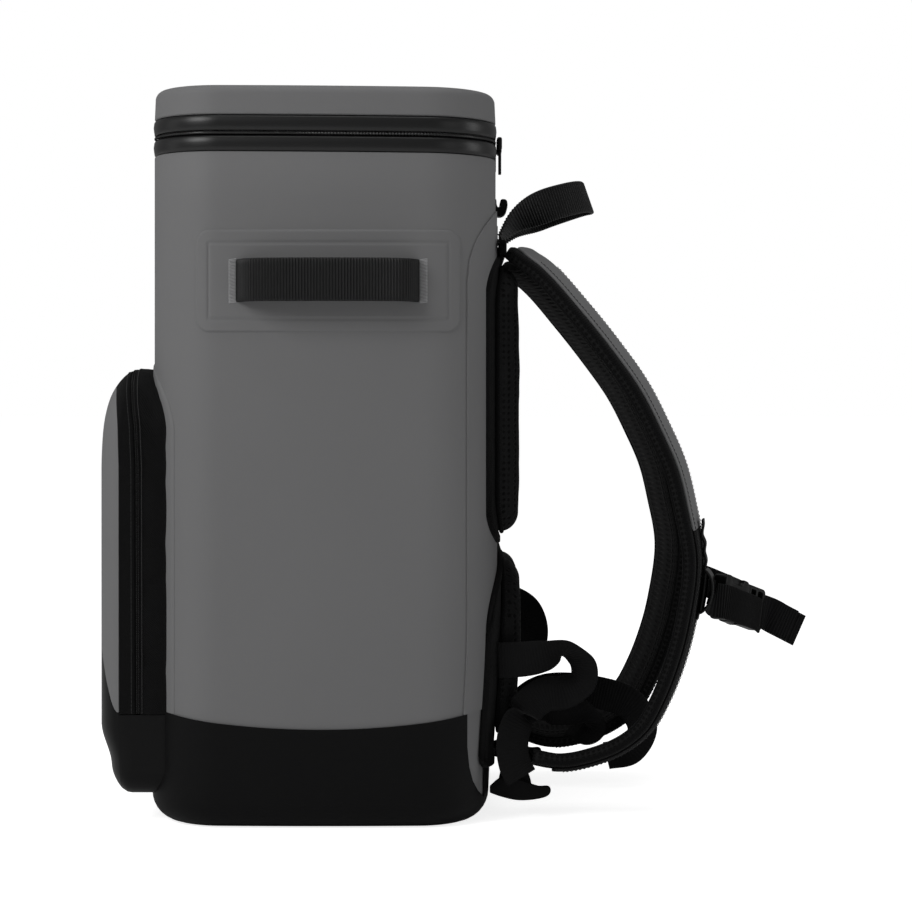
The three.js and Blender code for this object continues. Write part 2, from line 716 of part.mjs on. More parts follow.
function makeBack() {
  const upper = {
    width: PANEL_WIDTH,
    bottom: UPPER_PANEL_BOTTOM,
    top: UPPER_PANEL_TOP - YOKE_HEIGHT,
    topR: UPPER_TOP_R,
    bottomR: UPPER_BOTTOM_R,
  };
  const lower = {
    width: PANEL_WIDTH,
    bottom: LOWER_PANEL_BOTTOM,
    top: LOWER_PANEL_TOP,
    topR: LOWER_TOP_R,
    bottomR: LOWER_BOTTOM_R,
  };
  const inset = (outline, width, low) => ({
    ...outline, width, bottom: outline.bottom + low, top: outline.top - PAD_MARGIN,
  });
  makePanel('upper_back_panel', upper, 0);
  makePanel('lower_back_panel', lower, BOOT_OUT);
  const seat = PANEL_CLEAR + PANEL_CLOTH + GAP;
  makeCushion('upper_back_pad', inset(upper, UPPER_PAD_WIDTH, PAD_MARGIN), seat);
  makeCushion('lower_back_pad', inset(lower, LOWER_PAD_WIDTH, LOWER_PAD_LIFT), seat + BOOT_OUT);
}

// Yoke, hook and grab handle

// Flat outline across the back, extruded from its face
function makeYoke() {
  const z = UPPER_PANEL_TOP - YOKE_HEIGHT / 2 + GAP;
  const half = YOKE_WIDTH / 2;
  const plateFace = HALF_DEPTH + GAP;
  const plateBottom = z - YOKE_HEIGHT / 2 + GAP;
  const plateTop = plateBottom + YOKE_PLATE_HEIGHT;
  const grabHalf = GRAB_WIDTH / 2 + GRAB_WEBBING / 2;
  addNode('yoke_plate', box(
    -grabHalf, grabHalf, plateFace, plateFace + YOKE_PLATE, plateBottom, plateTop,
  ), 'twill');
  const barFace = plateFace + YOKE_PLATE + GAP;
  addNode('strap_yoke', backBlock(-half, half, barFace, YOKE_DEPTH, z, YOKE_HEIGHT), 'twill');
}

function makeHook() {
  const face = HALF_DEPTH + GAP;
  const t = HOOK_THICKNESS;
  const outline = [
    [face, HOOK_Z], [face + HOOK_REACH, HOOK_Z],
    [face + HOOK_REACH + t, HOOK_Z + t * 1.2], [face + HOOK_REACH + t, HOOK_Z + HOOK_HEIGHT],
    [face + HOOK_REACH, HOOK_Z + HOOK_HEIGHT], [face + HOOK_REACH, HOOK_Z + t * 1.8],
    [face + HOOK_REACH - t * 0.5, HOOK_Z + t], [face + t, HOOK_Z + t],
    [face + t, HOOK_Z + HOOK_HEIGHT * 0.8], [face, HOOK_Z + HOOK_HEIGHT * 0.8],
  ];
  addNode('hook_keeper', shapeAlongX(outline, -HOOK_WIDTH / 2, HOOK_WIDTH / 2), 'plastic');
}

// The grab handle is one strip of webbing: out from the yoke plate, round and back
function makeGrabHandle() {
  const root = HALF_DEPTH + YOKE_PLATE + 4 * GAP + GRAB_THICKNESS / 2;
  const rootZ = UPPER_PANEL_TOP + YOKE_PLATE_HEIGHT / 4;
  const half = [
    { out: 0, across: 1, up: 0, flat: 6 },
    { out: 0.2, across: 0.99, up: 0.42, flat: 1.2 },
    { out: 0.48, across: 0.92, up: 0.72, flat: 0.15 },
    { out: 0.74, across: 0.72, up: 0.9, flat: 0 },
    { out: 0.93, across: 0.4, up: 1, flat: 0 },
  ];
  const apex = { out: 1, across: 0, up: 1, flat: 0 };
  const other = [...half].reverse().map((s) => ({ ...s, across: -s.across, flat: -s.flat }));
  const stations = [...half, apex, ...other].map(({ out, across, up, flat }) => ({
    at: point(across * GRAB_WIDTH / 2, root + out * (GRAB_REACH - GRAB_THICKNESS), rootZ + up * GRAB_LIFT),
    wide: point(flat, -0.35, 1).normalize(),
  }));
  addNode('grab_handle', ribbon(stations, 22, GRAB_WEBBING, GRAB_THICKNESS), 'webbing');
}

// Shoulder straps

// The strap's own curve from the yoke down: how far it stands off the back, as shares of its
// reach, and its height, as shares of the upper panel's top
const strapCurve = [
  { out: 0.113, height: 0.986, apart: 0.8 },
  { out: 0.24, height: 0.951, apart: 0.87 },
  { out: 0.405, height: 0.883, apart: 0.95 },
  { out: 0.56, height: 0.812, apart: 1 },
  { out: 0.692, height: 0.744, apart: 1 },
  { out: 0.79, height: 0.675, apart: 1 },
  { out: 0.87, height: 0.608, apart: 1 },
  { out: 0.917, height: 0.54, apart: 1 },
  { out: 0.96, height: 0.446, apart: 1 },
  { out: 0.922, height: 0.338, apart: 1 },
  { out: 0.874, height: 0.271, apart: 1 },
  { out: 0.802, height: 0.204, apart: 1 },
  { out: 0.72, height: 0.153, apart: 1 },
  { out: 0.6, height: 0.119, apart: 1 },
  { out: 0.45, height: 0.098, apart: 1 },
  { out: 0.31, height: 0.09, apart: 1 },
  { out: 0.17, height: 0.098, apart: 1 },
];
const STRAP_STEPS = 30;

// Frames of one strap: across points to its outer side edge, normal away from the wearer
function strapFrames(side) {
  const roof = THREE.MathUtils.degToRad(STRAP_ROOF);
  const places = strapCurve.map(({ out, height, apart }) => point(
    side * apart * STRAP_SPACING / 2, HALF_DEPTH + out * STRAP_REACH, height * UPPER_PANEL_TOP,
  ));
  const curve = new THREE.CatmullRomCurve3(places, false, 'centripetal');
  curve.arcLengthDivisions = 400;
  const frames = [];
  for (let i = 0; i <= STRAP_STEPS; i++) {
    const t = i / STRAP_STEPS;
    const tangent = curve.getTangentAt(t);
    const away = point(0, -tangent.z, tangent.y).normalize();
    const across = point(side * Math.cos(roof), 0, 0).addScaledVector(away, -Math.sin(roof));
    across.addScaledVector(tangent, -across.dot(tangent)).normalize();
    const normal = across.clone().cross(tangent).normalize();
    if (normal.dot(away) < 0) normal.negate();
    frames.push({ at: curve.getPointAt(t), across, normal, t });
  }
  return frames;
}

// Section of a strap layer from one level to another, narrower at both ends of the strap
function layerSection(width, low, high) {
  return (t) => {
    const end = Math.min(1, Math.min(t, 1 - t) * 14);
    const half = (width / 2) * (0.72 + 0.28 * Math.sqrt(1 - (1 - end) ** 2));
    const edge = Math.min((high - low) * 0.3, 2.5);
    return [
      [-half, low + edge], [-half + edge, low], [half - edge, low], [half, low + edge],
      [half, high - edge], [half - edge, high], [-half + edge, high], [-half, high - edge],
    ];
  };
}

const strapTop = (PAD_FOAM + GAP + COVER) / 2;
const padTop = -strapTop + PAD_FOAM;

function makeStrap(name, side) {
  const frames = strapFrames(side);
  const split = Math.round(COVER_SHARE * STRAP_STEPS);
  const gapShare = 0.1;
  addNode(`strap_pad_${name}`, sweep(frames, layerSection(STRAP_WIDTH, -strapTop, padTop)), 'mesh');
  const cover = layerSection(COVER_WIDTH, padTop + GAP, strapTop);
  addNode(`strap_cover_${name}`, sweep(frames.slice(1, split + 1), cover), 'shell');
  const lower = frames.slice(split, -1);
  const start = frames[split].at.clone().lerp(frames[split + 1].at, gapShare);
  const shifted = [{ ...frames[split], at: start }, ...lower.slice(1)];
  addNode(`strap_lower_${name}`, sweep(shifted, cover), 'twill');
}

// Frame on a strap at a share of its length, lifted off its middle plane
function onStrap(side, share, lift) {
  const frames = strapFrames(side);
  const spot = share * STRAP_STEPS;
  const first = frames[Math.floor(spot)];
  const second = frames[Math.floor(spot) + 1];
  const part = spot - Math.floor(spot);
  const normal = first.normal.clone().lerp(second.normal, part).normalize();
  const across = first.across.clone().lerp(second.across, part).normalize();
  const at = first.at.clone().lerp(second.at, part).addScaledVector(normal, lift);
  return { at, across, normal, along: normal.clone().cross(across) };
}

// Block carried square on a frame: sizes across, along and off the strap
function frameBlock(at, across, along, normal, sizes) {
  const [wide, long, thick] = sizes;
  const edge = Math.min(wide, thick) * 0.2;
  const section = [
    [-wide / 2, -thick / 2 + edge], [-wide / 2 + edge, -thick / 2], [wide / 2 - edge, -thick / 2],
    [wide / 2, -thick / 2 + edge], [wide / 2, thick / 2 - edge], [wide / 2 - edge, thick / 2],
    [-wide / 2 + edge, thick / 2], [-wide / 2, thick / 2 - edge],
  ];
  return loft([-0.5, 0.5].map((end) => section.map(([a, n]) => at.clone()
    .addScaledVector(along, end * long)
    .addScaledVector(across, a)
    .addScaledVector(normal, n))));
}

// Chest strap

// The chest strap is fastened: it leaves both shoulder straps and meets past the wearer's chest
function makeChest() {
  const level = strapTop + 2 * GAP;
  for (const [name, side] of [['near', NEAR], ['far', FAR]]) {
    const rail = [-0.1, -0.07, -0.03, 0, 0.04].map((step) => {
      const seat = onStrap(side, CHEST_SHARE + step, level + RAIL / 2);
      return { at: seat.at, wide: seat.across };
    });
    addNode(`strap_rail_${name}`, ribbon(rail, 10, RAIL_WIDTH, RAIL), 'webbing');
    const { at, across, along, normal } = onStrap(side, CHEST_SHARE, level + RAIL + GAP + BAR / 2);
    const sizes = [RAIL_WIDTH + 4 * BAR, CHEST_SLIDER, BAR];
    addNode(`chest_slider_${name}`, frameBlock(at, across, along, normal, sizes), 'plastic');
  }
  const clear = level + RAIL + 2 * GAP + BAR + WEBBING_THICKNESS;
  const nearSeat = onStrap(NEAR, CHEST_SHARE, clear).at;
  const farSeat = onStrap(FAR, CHEST_SHARE, clear).at;
  const axis = point(-0.78, 0.575, -0.25).normalize();
  const up = point(0, 0, 1);
  const wide = up.clone().addScaledVector(axis, -up.dot(axis)).normalize();
  const normal = wide.clone().cross(axis).normalize();
  const half = BUCKLE_LENGTH / 2;
  const along = (distance, lift = 0) => nearSeat.clone()
    .addScaledVector(axis, CHEST_LEAD + distance)
    .addScaledVector(normal, lift);
  addNode('chest_web_near', ribbon([
    { at: nearSeat.clone().add(point(2 * BAR, WEBBING_THICKNESS / 2, 0)), wide: up },
    { at: nearSeat.clone().add(point(-BAR / 3, WEBBING_THICKNESS * 0.875, -BAR / 5)), wide },
    { at: along(-GAP), wide },
  ], 6, WEBBING, WEBBING_THICKNESS), 'webbing');
  addNode('chest_buckle_socket', frameBlock(
    along(half / 2), wide, axis, normal, [BUCKLE_WIDTH, half, BUCKLE_THICKNESS],
  ), 'plastic');
  addNode('chest_buckle_plug', frameBlock(
    along(half * 1.5 + GAP), wide, axis, normal, [BUCKLE_WIDTH * 0.94, half, BUCKLE_THICKNESS * 0.8],
  ), 'plastic');
  const start = BUCKLE_LENGTH + 2 * GAP;
  const inward = Math.sign(normal.x) * -BUCKLE_THICKNESS * 0.2;
  const bend = along(start + CHEST_LEAD / 3, inward);
  const sag = point(0, CHEST_SAG, -CHEST_SAG / 9);
  addNode('chest_web_far', ribbon([
    { at: along(start, inward), wide },
    { at: bend, wide },
    { at: bend.clone().lerp(farSeat, 0.3).add(sag), wide },
    { at: bend.clone().lerp(farSeat, 0.7).add(sag), wide: up },
    { at: farSeat.clone().add(point(BAR, WEBBING_THICKNESS, 0)), wide: up },
    { at: farSeat.clone().add(point(-2 * BAR, WEBBING_THICKNESS / 2, 0)), wide: up },
  ], 16, WEBBING, WEBBING_THICKNESS), 'webbing');
  const hang = point(-0.1, 0.86, -0.45).normalize();
  const tail = along(start + CHEST_LEAD * 0.21, -inward);
  addNode('chest_tail', ribbon([
    { at: tail, wide },
    { at: tail.clone().addScaledVector(axis, BAR).addScaledVector(hang, BAR), wide },
    { at: tail.clone().addScaledVector(hang, TAIL_LENGTH), wide },
  ], 6, WEBBING, WEBBING_THICKNESS * 2), 'webbing');
}

// Webbing at the foot of the straps

// Stations of webbing: how far out to the side, as shares of half the panel's width, how far off
// the back, as shares of the strap's reach, and how high, as shares of the upper panel's top
const route = (side, stations) => stations.map(([x, out, z, wx, wy, wz]) => ({
  at: point(side * x * PANEL_WIDTH / 2, HALF_DEPTH + out * STRAP_REACH, z * UPPER_PANEL_TOP),
  wide: point(side * wx, wy, wz),
}));

const anchorX = WIDTH / 2 - SIDE_BULGE - CORNER_R;

// Lower anchors are flat tabs of doubled cloth that stand out from the boot
function makeAnchor(name, side) {
  const x = side * anchorX;
  const root = backY(anchorX, ANCHOR_Z + ANCHOR_HEIGHT) + BOOT_OUT + GAP;
  const half = ANCHOR_HEIGHT / 2;
  const end = root + ANCHOR_LENGTH;
  const outline = [
    [root, ANCHOR_Z - half * 0.9], [end - half, ANCHOR_Z - half], [end - half * 0.3, ANCHOR_Z - half * 0.7],
    [end, ANCHOR_Z], [end - half * 0.3, ANCHOR_Z + half * 0.7], [end - half, ANCHOR_Z + half],
    [root, ANCHOR_Z + half * 1.4],
  ];
  addNode(`strap_anchor_${name}`, prismAlongX(
    outline, x - ANCHOR_THICKNESS / 2, x + ANCHOR_THICKNESS / 2,
  ), 'boot');
}

// The ladder lock sits at the end of each strap pad, and webbing runs from it to the anchor
function makeLock(name, side) {
  const frames = strapFrames(side);
  const last = frames[STRAP_STEPS];
  const along = last.at.clone().sub(frames[STRAP_STEPS - 1].at).normalize();
  const at = last.at.clone().addScaledVector(along, LOCK_LENGTH / 2 + GAP);
  const lock = toSolid(frameBlock(at, last.across, along, last.normal,
    [WEBBING + 2 * BAR, LOCK_LENGTH, LOCK_THICKNESS]));
  const slot = (shift) => toSolid(frameBlock(
    at.clone().addScaledVector(along, shift), last.across, along, last.normal,
    [WEBBING, (LOCK_LENGTH - 3 * BAR) / 2, LOCK_THICKNESS * 4],
  ));
  const reach = (LOCK_LENGTH - BAR) / 4 + BAR / 4;
  addNode(`ladder_lock_${name}`, toGeometry(lock.subtract(slot(-reach)).subtract(slot(reach))), 'plastic');
}

// Webbing from the ladder lock down to the anchor, where it lies flat against the tab
function makeAdjuster(name, side) {
  const stations = route(side, [
    [0.677, 0.053, 0.0935, 1, 0, 0.17],
    [0.69, 0.06, 0.08, 0.85, 0.5, 0],
    [0.718, 0.073, 0.068, 0.5, 0.85, 0],
    [0.738, 0.087, 0.058, 0.15, 1, 0],
    [0.7455, 0.093, 0.041, 0, 1, 0],
  ]);
  addNode(`adjuster_web_${name}`, ribbon(stations, 14, WEBBING, WEBBING_THICKNESS), 'webbing');
}

// Hip belt and strap ends, slack and folded up beside the lower pad
function makeSlack() {
  const hipNear = route(NEAR, [
    [0.911, 0.01, 0.277, 0, 0, 1],
    [0.927, 0.12, 0.279, 0, 0, 1],
    [0.935, 0.227, 0.285, 0.35, 0, 0.94],
    [0.919, 0.333, 0.295, 0.85, 0, 0.52],
    [0.871, 0.413, 0.271, 0.75, 0.6, 0.3],
    [0.839, 0.413, 0.237, 0.7, 0.7, -0.2],
    [0.839, 0.333, 0.22, 0.4, 0.2, -0.9],
    [0.863, 0.227, 0.215, 0.3, 0, -0.95],
    [0.903, 0.133, 0.188, 0.3, -0.5, -0.8],
    [0.935, 0.08, 0.145, 0.4, -0.9, -0.2],
    [0.952, 0.087, 0.101, 0.4, -0.9, 0],
    [0.952, 0.12, 0.077, 0.4, -0.9, 0],
  ]);
  addNode('hip_web_near', ribbon(hipNear, 28, WEBBING, WEBBING_THICKNESS), 'webbing');
  const hipFold = route(NEAR, [
    [0.685, 0.087, 0.118, 1, 0, 0],
    [0.694, 0.12, 0.145, 0.9, 0, 0.4],
    [0.718, 0.173, 0.176, 0.7, -0.4, 0.6],
    [0.782, 0.267, 0.188, 0.3, 0, 0.95],
    [0.782, 0.373, 0.184, 0.4, 0.2, 0.9],
    [0.742, 0.453, 0.164, 0.7, 0.65, 0.3],
    [0.661, 0.44, 0.15, 0.8, 0.4, -0.4],
    [0.613, 0.373, 0.155, 0.8, 0, -0.6],
  ]);
  addNode('hip_web_fold', ribbon(hipFold, 22, WEBBING, WEBBING_THICKNESS), 'webbing');
  const hipFar = route(FAR, [
    [0.911, 0.007, 0.333, 0, 0, 1],
    [0.927, 0.093, 0.333, 0, 0.2, 0.95],
    [0.927, 0.187, 0.314, 0.2, 0.55, 0.8],
    [0.911, 0.227, 0.275, 0.3, 0.9, 0.2],
    [0.887, 0.2, 0.237, 0.3, 0.8, -0.5],
    [0.871, 0.12, 0.217, 0.3, 0.2, -0.9],
    [0.895, 0.053, 0.213, 0.3, 0, -0.95],
  ]);
  addNode('hip_web_far', ribbon(hipFar, 20, WEBBING, WEBBING_THICKNESS), 'webbing');
  const farTail = route(FAR, [
    [0.645, 0.087, 0.122, 1, 0, 0],
    [0.565, 0.133, 0.15, 0.8, -0.2, 0.5],
    [0.403, 0.28, 0.179, 0.3, 0, 0.95],
    [0.306, 0.507, 0.179, 0.2, 0.2, 0.95],
    [0.29, 0.707, 0.155, 0.2, 0.6, 0.8],
    [0.282, 0.773, 0.111, 0.3, 0.9, 0],
    [0.29, 0.707, 0.068, 0.3, 0.7, -0.6],
    [0.306, 0.587, 0.058, 0.4, 0.2, -0.9],
  ]);
  addNode('strap_tail_far', ribbon(farTail, 22, WEBBING, WEBBING_THICKNESS), 'webbing');
}

makeBody();
makeBoot();
makeLid();
makeBand();
makeZipperEnds();
makePatch('handle_patch_near', NEAR);
makePatch('handle_patch_far', FAR);
makeSideHandle('side_handle_near', NEAR);
makeSideHandle('side_handle_far', FAR);
makePocket();
makeBack();
makeYoke();
makeHook();
makeGrabHandle();
makeStrap('near', NEAR);
makeStrap('far', FAR);
makeChest();
makeAnchor('near', NEAR);
makeAnchor('far', FAR);
makeLock('near', NEAR);
makeLock('far', FAR);
makeAdjuster('near', NEAR);
makeAdjuster('far', FAR);
makeSlack();

export default group;
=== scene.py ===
# %% [markdown]
# # A soft cooler backpack
# The bag is a tall insulated box of coated cloth with a zipped lid, a front pocket, webbing
# handles and padded shoulder straps. The frame holds every piece at its real size. Here each
# piece gets the surface that the eye looks for: seams, ribs, stitches, mesh and soft edges.

# %% Load the frame
import math
import bpy
import numpy as np
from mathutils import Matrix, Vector


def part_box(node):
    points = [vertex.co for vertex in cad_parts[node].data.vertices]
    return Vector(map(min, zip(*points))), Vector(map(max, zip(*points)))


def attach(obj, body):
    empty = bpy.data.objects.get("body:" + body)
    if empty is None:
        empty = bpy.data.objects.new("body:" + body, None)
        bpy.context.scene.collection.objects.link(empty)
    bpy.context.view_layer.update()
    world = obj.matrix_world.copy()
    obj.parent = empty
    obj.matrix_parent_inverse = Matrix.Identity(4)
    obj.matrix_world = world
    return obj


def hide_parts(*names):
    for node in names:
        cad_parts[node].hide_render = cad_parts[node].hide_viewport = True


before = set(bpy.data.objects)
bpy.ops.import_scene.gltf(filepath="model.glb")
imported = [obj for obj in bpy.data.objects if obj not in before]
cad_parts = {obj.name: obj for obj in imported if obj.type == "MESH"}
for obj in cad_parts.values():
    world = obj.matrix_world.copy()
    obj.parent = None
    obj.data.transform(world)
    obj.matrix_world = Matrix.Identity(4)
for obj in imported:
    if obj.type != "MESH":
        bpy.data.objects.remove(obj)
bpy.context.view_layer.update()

# %% [markdown]
# ## Camera and light
# The bag is seen exactly from its side. The camera stands 1.8 m from the middle of the bag, a
# little above half its height, and looks level, so upright edges stay upright. A small shift
# frames the bag without tilting the camera.

# %% Camera
CAMERA_DISTANCE = 1.8
CAMERA_Y = 0.094
CAMERA_Z = 0.300
LENS = 93.5
HORIZON_SHIFT = -0.0614

scene = bpy.context.scene
bpy.ops.object.camera_add(
    location=(CAMERA_DISTANCE, CAMERA_Y, CAMERA_Z),
    rotation=(math.radians(90), 0, math.radians(90)),
)
camera = bpy.context.object
camera.name = "camera"
camera.data.lens = LENS
camera.data.shift_y = HORIZON_SHIFT
scene.camera = camera
print("camera at", tuple(round(v, 3) for v in camera.location))

# %% [markdown]
# A white studio lights the bag from all round. One broad lamp stands ahead of the pocket side, so
# the cloth is a little brighter there and falls off toward the straps. Long narrow lamps leave
# the soft streaks on the glossy zipper tape.

# %% Light
def add_area(name, place, target, width, height, power):
    bpy.ops.object.light_add(type="AREA", location=place)
    lamp = bpy.context.object
    lamp.name = name
    lamp.data.shape = "RECTANGLE"
    lamp.data.size = width
    lamp.data.size_y = height
    lamp.data.energy = power
    aim = Vector(target) - Vector(place)
    lamp.rotation_euler = aim.to_track_quat("-Z", "Y").to_euler()
    return lamp


add_area("key", (1.25, -1.2, 1.25), (0.1, -0.05, 0.32), 0.9, 0.9, 16)
add_area("fill", (1.9, 1.9, 0.9), (0.0, 0.1, 0.28), 0.9, 1.4, 2.5)
add_area("top", (0.2, 0.0, 2.4), (0.0, 0.0, 0.3), 1.6, 1.6, 13)
add_area("front_rim", (0.1, -2.2, 0.7), (0.0, -0.1, 0.3), 0.7, 1.6, 2.0)
add_area("back_rim", (0.2, 2.3, 0.8), (0.0, 0.1, 0.35), 0.5, 1.4, 7)

# The surroundings light the bag weakly, and the camera itself sees them as plain white.
SURROUND_LIGHT = 0.22
SURROUND_SEEN = 1.0

world = bpy.data.worlds.new("studio")
scene.world = world
world.use_nodes = True
tree = world.node_tree
light_path = tree.nodes.new("ShaderNodeLightPath")
around = tree.nodes["Background"]
seen = tree.nodes.new("ShaderNodeBackground")
for background, strength in ((around, SURROUND_LIGHT), (seen, SURROUND_SEEN)):
    background.inputs["Color"].default_value = (1, 1, 1, 1)
    background.inputs["Strength"].default_value = strength
choose = tree.nodes.new("ShaderNodeMixShader")
tree.links.new(light_path.outputs["Is Camera Ray"], choose.inputs["Fac"])
tree.links.new(around.outputs["Background"], choose.inputs[1])
tree.links.new(seen.outputs["Background"], choose.inputs[2])
tree.links.new(choose.outputs["Shader"], tree.nodes["World Output"].inputs["Surface"])
scene.view_settings.view_transform = "Standard"

# %% [markdown]
# ## Finishes
# Each finish is a small network of noise and waves. The coated cloth is matt with a very fine
# grain, the boot is smoother and darker, the zipper tape is glossy, and the webbing and mesh
# get their weave from the piece's own UV map, which is in metres along and across the strip.

# %% Helpers for finishes
def new_finish(name, color, roughness, specular=0.4, sheen=0.0):
    material = bpy.data.materials.new(name)
    material.use_nodes = True
    shader = material.node_tree.nodes["Principled BSDF"]
    shader.inputs["Base Color"].default_value = (*color, 1)
    shader.inputs["Roughness"].default_value = roughness
    shader.inputs["Specular IOR Level"].default_value = specular
    shader.inputs["Sheen Weight"].default_value = sheen
    return material


def add_node(material, kind, **values):
    node = material.node_tree.nodes.new(kind)
    for key, value in values.items():
        if key in node.inputs:
            node.inputs[key].default_value = value
        else:
            setattr(node, key, value)
    return node


def link(material, source, target):
    material.node_tree.links.new(source, target)


def coordinates(material, kind="Object", scale=(1, 1, 1), turn=(0, 0, 0)):
    source = add_node(material, "ShaderNodeTexCoord")
    mapping = add_node(material, "ShaderNodeMapping")
    mapping.inputs["Scale"].default_value = scale
    mapping.inputs["Rotation"].default_value = turn
    link(material, source.outputs[kind], mapping.inputs["Vector"])
    return mapping.outputs["Vector"]


def bump_chain(material, heights):
    """Add bumps one on another: pairs of a height socket and its distance in metres."""
    shader = material.node_tree.nodes["Principled BSDF"]
    previous = None
    for height, distance in heights:
        bump = add_node(material, "ShaderNodeBump")
        bump.inputs["Distance"].default_value = distance
        bump.inputs["Strength"].default_value = 1.0
        link(material, height, bump.inputs["Height"])
        if previous:
            link(material, previous, bump.inputs["Normal"])
        previous = bump.outputs["Normal"]
    link(material, previous, shader.inputs["Normal"])


def tinted(material, factor, dark, light):
    """Colour the cloth between two shades by a factor socket."""
    ramp = add_node(material, "ShaderNodeValToRGB")
    ramp.color_ramp.elements[0].color = (*dark, 1)
    ramp.color_ramp.elements[1].color = (*light, 1)
    link(material, factor, ramp.inputs["Fac"])
    shader = material.node_tree.nodes["Principled BSDF"]
    link(material, ramp.outputs["Color"], shader.inputs["Base Color"])
    return ramp


# %% Coated cloth, boot and tape
def coated(name, dark, light, roughness, specular, grain, waves):
    """Coated cloth: fine grain, faint long waves of the foam below, and patchy tone."""
    material = new_finish(name, light, roughness, specular)
    place = coordinates(material)
    patches = add_node(material, "ShaderNodeTexNoise", Scale=7.0, Detail=3.0)
    fine = add_node(material, "ShaderNodeTexNoise", Scale=1400.0, Detail=2.0)
    swell = add_node(material, "ShaderNodeTexNoise", Scale=9.0, Detail=1.0)
    for texture in (patches, fine, swell):
        link(material, place, texture.inputs["Vector"])
    tinted(material, patches.outputs["Fac"], dark, light)
    bump_chain(material, [(swell.outputs["Fac"], waves), (fine.outputs["Fac"], grain)])
    return material


SHELL = coated("coated_grey", (0.149, 0.149, 0.151), (0.163, 0.163, 0.165), 0.62, 0.3,
               0.00006, 0.0015)
BOOT = coated("boot_black", (0.0036, 0.0036, 0.0038), (0.0047, 0.0047, 0.0049), 0.5, 0.09,
              0.00005, 0.0010)
TAPE = coated("zipper_tape", (0.004, 0.004, 0.0042), (0.006, 0.006, 0.0062), 0.36, 0.42,
              0.00002, 0.0010)
PLASTIC = coated("moulded_black", (0.003, 0.003, 0.003), (0.0042, 0.0042, 0.0042), 0.34, 0.16,
                 0.00003, 0.0)
print("coated finishes:", SHELL.name, BOOT.name, TAPE.name)

# %% [markdown]
# Twill is woven in fine slanting ribs. Webbing is woven in rows of round cords that lie across
# it, with smoother edges. Mesh is a net of small round holes over dark foam, and the inside of
# each hole is painted much darker as painted shade.

# %% Woven finishes
def woven(name, color, across_period, along_period, depth, slant=0.0, roughness=0.8):
    """Two crossed waves, which make the rows of cords and the threads across them."""
    material = new_finish(name, color, roughness, 0.1, 0.03)
    place = coordinates(material, "UV", turn=(0, 0, slant))
    rows = add_node(material, "ShaderNodeTexWave", Scale=math.pi / 10 / along_period)
    rows.bands_direction = "Y"
    threads = add_node(material, "ShaderNodeTexWave", Scale=math.pi / 10 / across_period)
    threads.bands_direction = "X"
    dust = add_node(material, "ShaderNodeTexNoise", Scale=160.0, Detail=3.0)
    for texture in (rows, threads):
        link(material, place, texture.inputs["Vector"])
    link(material, coordinates(material), dust.inputs["Vector"])
    both = add_node(material, "ShaderNodeMath", operation="MULTIPLY")
    link(material, rows.outputs["Fac"], both.inputs[0])
    link(material, threads.outputs["Fac"], both.inputs[1])
    dark, light = (tuple(c * share for c in color) for share in (0.75, 1.3))
    tinted(material, dust.outputs["Fac"], dark, light)
    bump_chain(material, [(rows.outputs["Fac"], depth), (both.outputs["Value"], depth * 0.5)])
    return material


WEBBING = woven("webbing_black", (0.0046, 0.0046, 0.0048), 0.0012, 0.0022, 0.00016)
TWILL = woven("twill_black", (0.0036, 0.0036, 0.0038), 0.0011, 0.0011, 0.00022,
              slant=math.radians(35))
BINDING = woven("binding_black", (0.0032, 0.0032, 0.0034), 0.0009, 0.0016, 0.0002, roughness=0.9)


def net(name, period, kind="UV"):
    """Spacer mesh: round holes set in rows, their insides darker with painted shade over the dark
    foam.
    """
    material = new_finish(name, (0.006, 0.006, 0.0062), 0.8, 0.12, 0.02)
    place = coordinates(material, kind, scale=(1 / period, 1 / period, 1 / period))
    cells = add_node(material, "ShaderNodeTexVoronoi", Scale=1.0, Randomness=0.0)
    link(material, place, cells.inputs["Vector"])
    hole_and_shade = add_node(material, "ShaderNodeMapRange")
    hole_and_shade.inputs["From Min"].default_value = 0.22
    hole_and_shade.inputs["From Max"].default_value = 0.42
    link(material, cells.outputs["Distance"], hole_and_shade.inputs["Value"])
    # Painted shade: the hole mask tints each hole almost black; the same mask also gives the holes'
    # bump.
    tinted(material, hole_and_shade.outputs["Result"], (0.0006, 0.0006, 0.0006), (0.0078, 0.0078, 0.008))
    bump_chain(material, [(hole_and_shade.outputs["Result"], 0.0012)])
    return material


MESH = net("spacer_mesh", 0.0042)
THREAD = new_finish("grey_thread", (0.36, 0.36, 0.365), 0.7, 0.3, 0.1)
BLACK_THREAD = new_finish("black_thread", (0.012, 0.012, 0.0125), 0.6, 0.3, 0.2)
print("woven finishes:", WEBBING.name, TWILL.name, BINDING.name, MESH.name)

# %% [markdown]
# ## Laying a grid
# Most of this bag is cloth that wraps round something. A grid of faces is added and each of its
# points is laid where the cloth goes: round the body, along a strap, or over a pad. The same
# grid carries a UV map in metres, so a weave keeps its scale everywhere.

# %% Helpers that lay a grid
def deselect():
    if bpy.context.mode != "OBJECT":
        bpy.ops.object.mode_set(mode="OBJECT")
    bpy.ops.object.select_all(action="DESELECT")


def volume_of(piece):
    """Signed volume: below zero when the faces point inward."""
    faces = piece.data.polygons
    centres, normals, areas = (np.empty(len(faces) * n) for n in (3, 3, 1))
    faces.foreach_get("center", centres)
    faces.foreach_get("normal", normals)
    faces.foreach_get("area", areas)
    return float(np.sum(np.sum((centres * normals).reshape(-1, 3), axis=1) * areas) / 3)


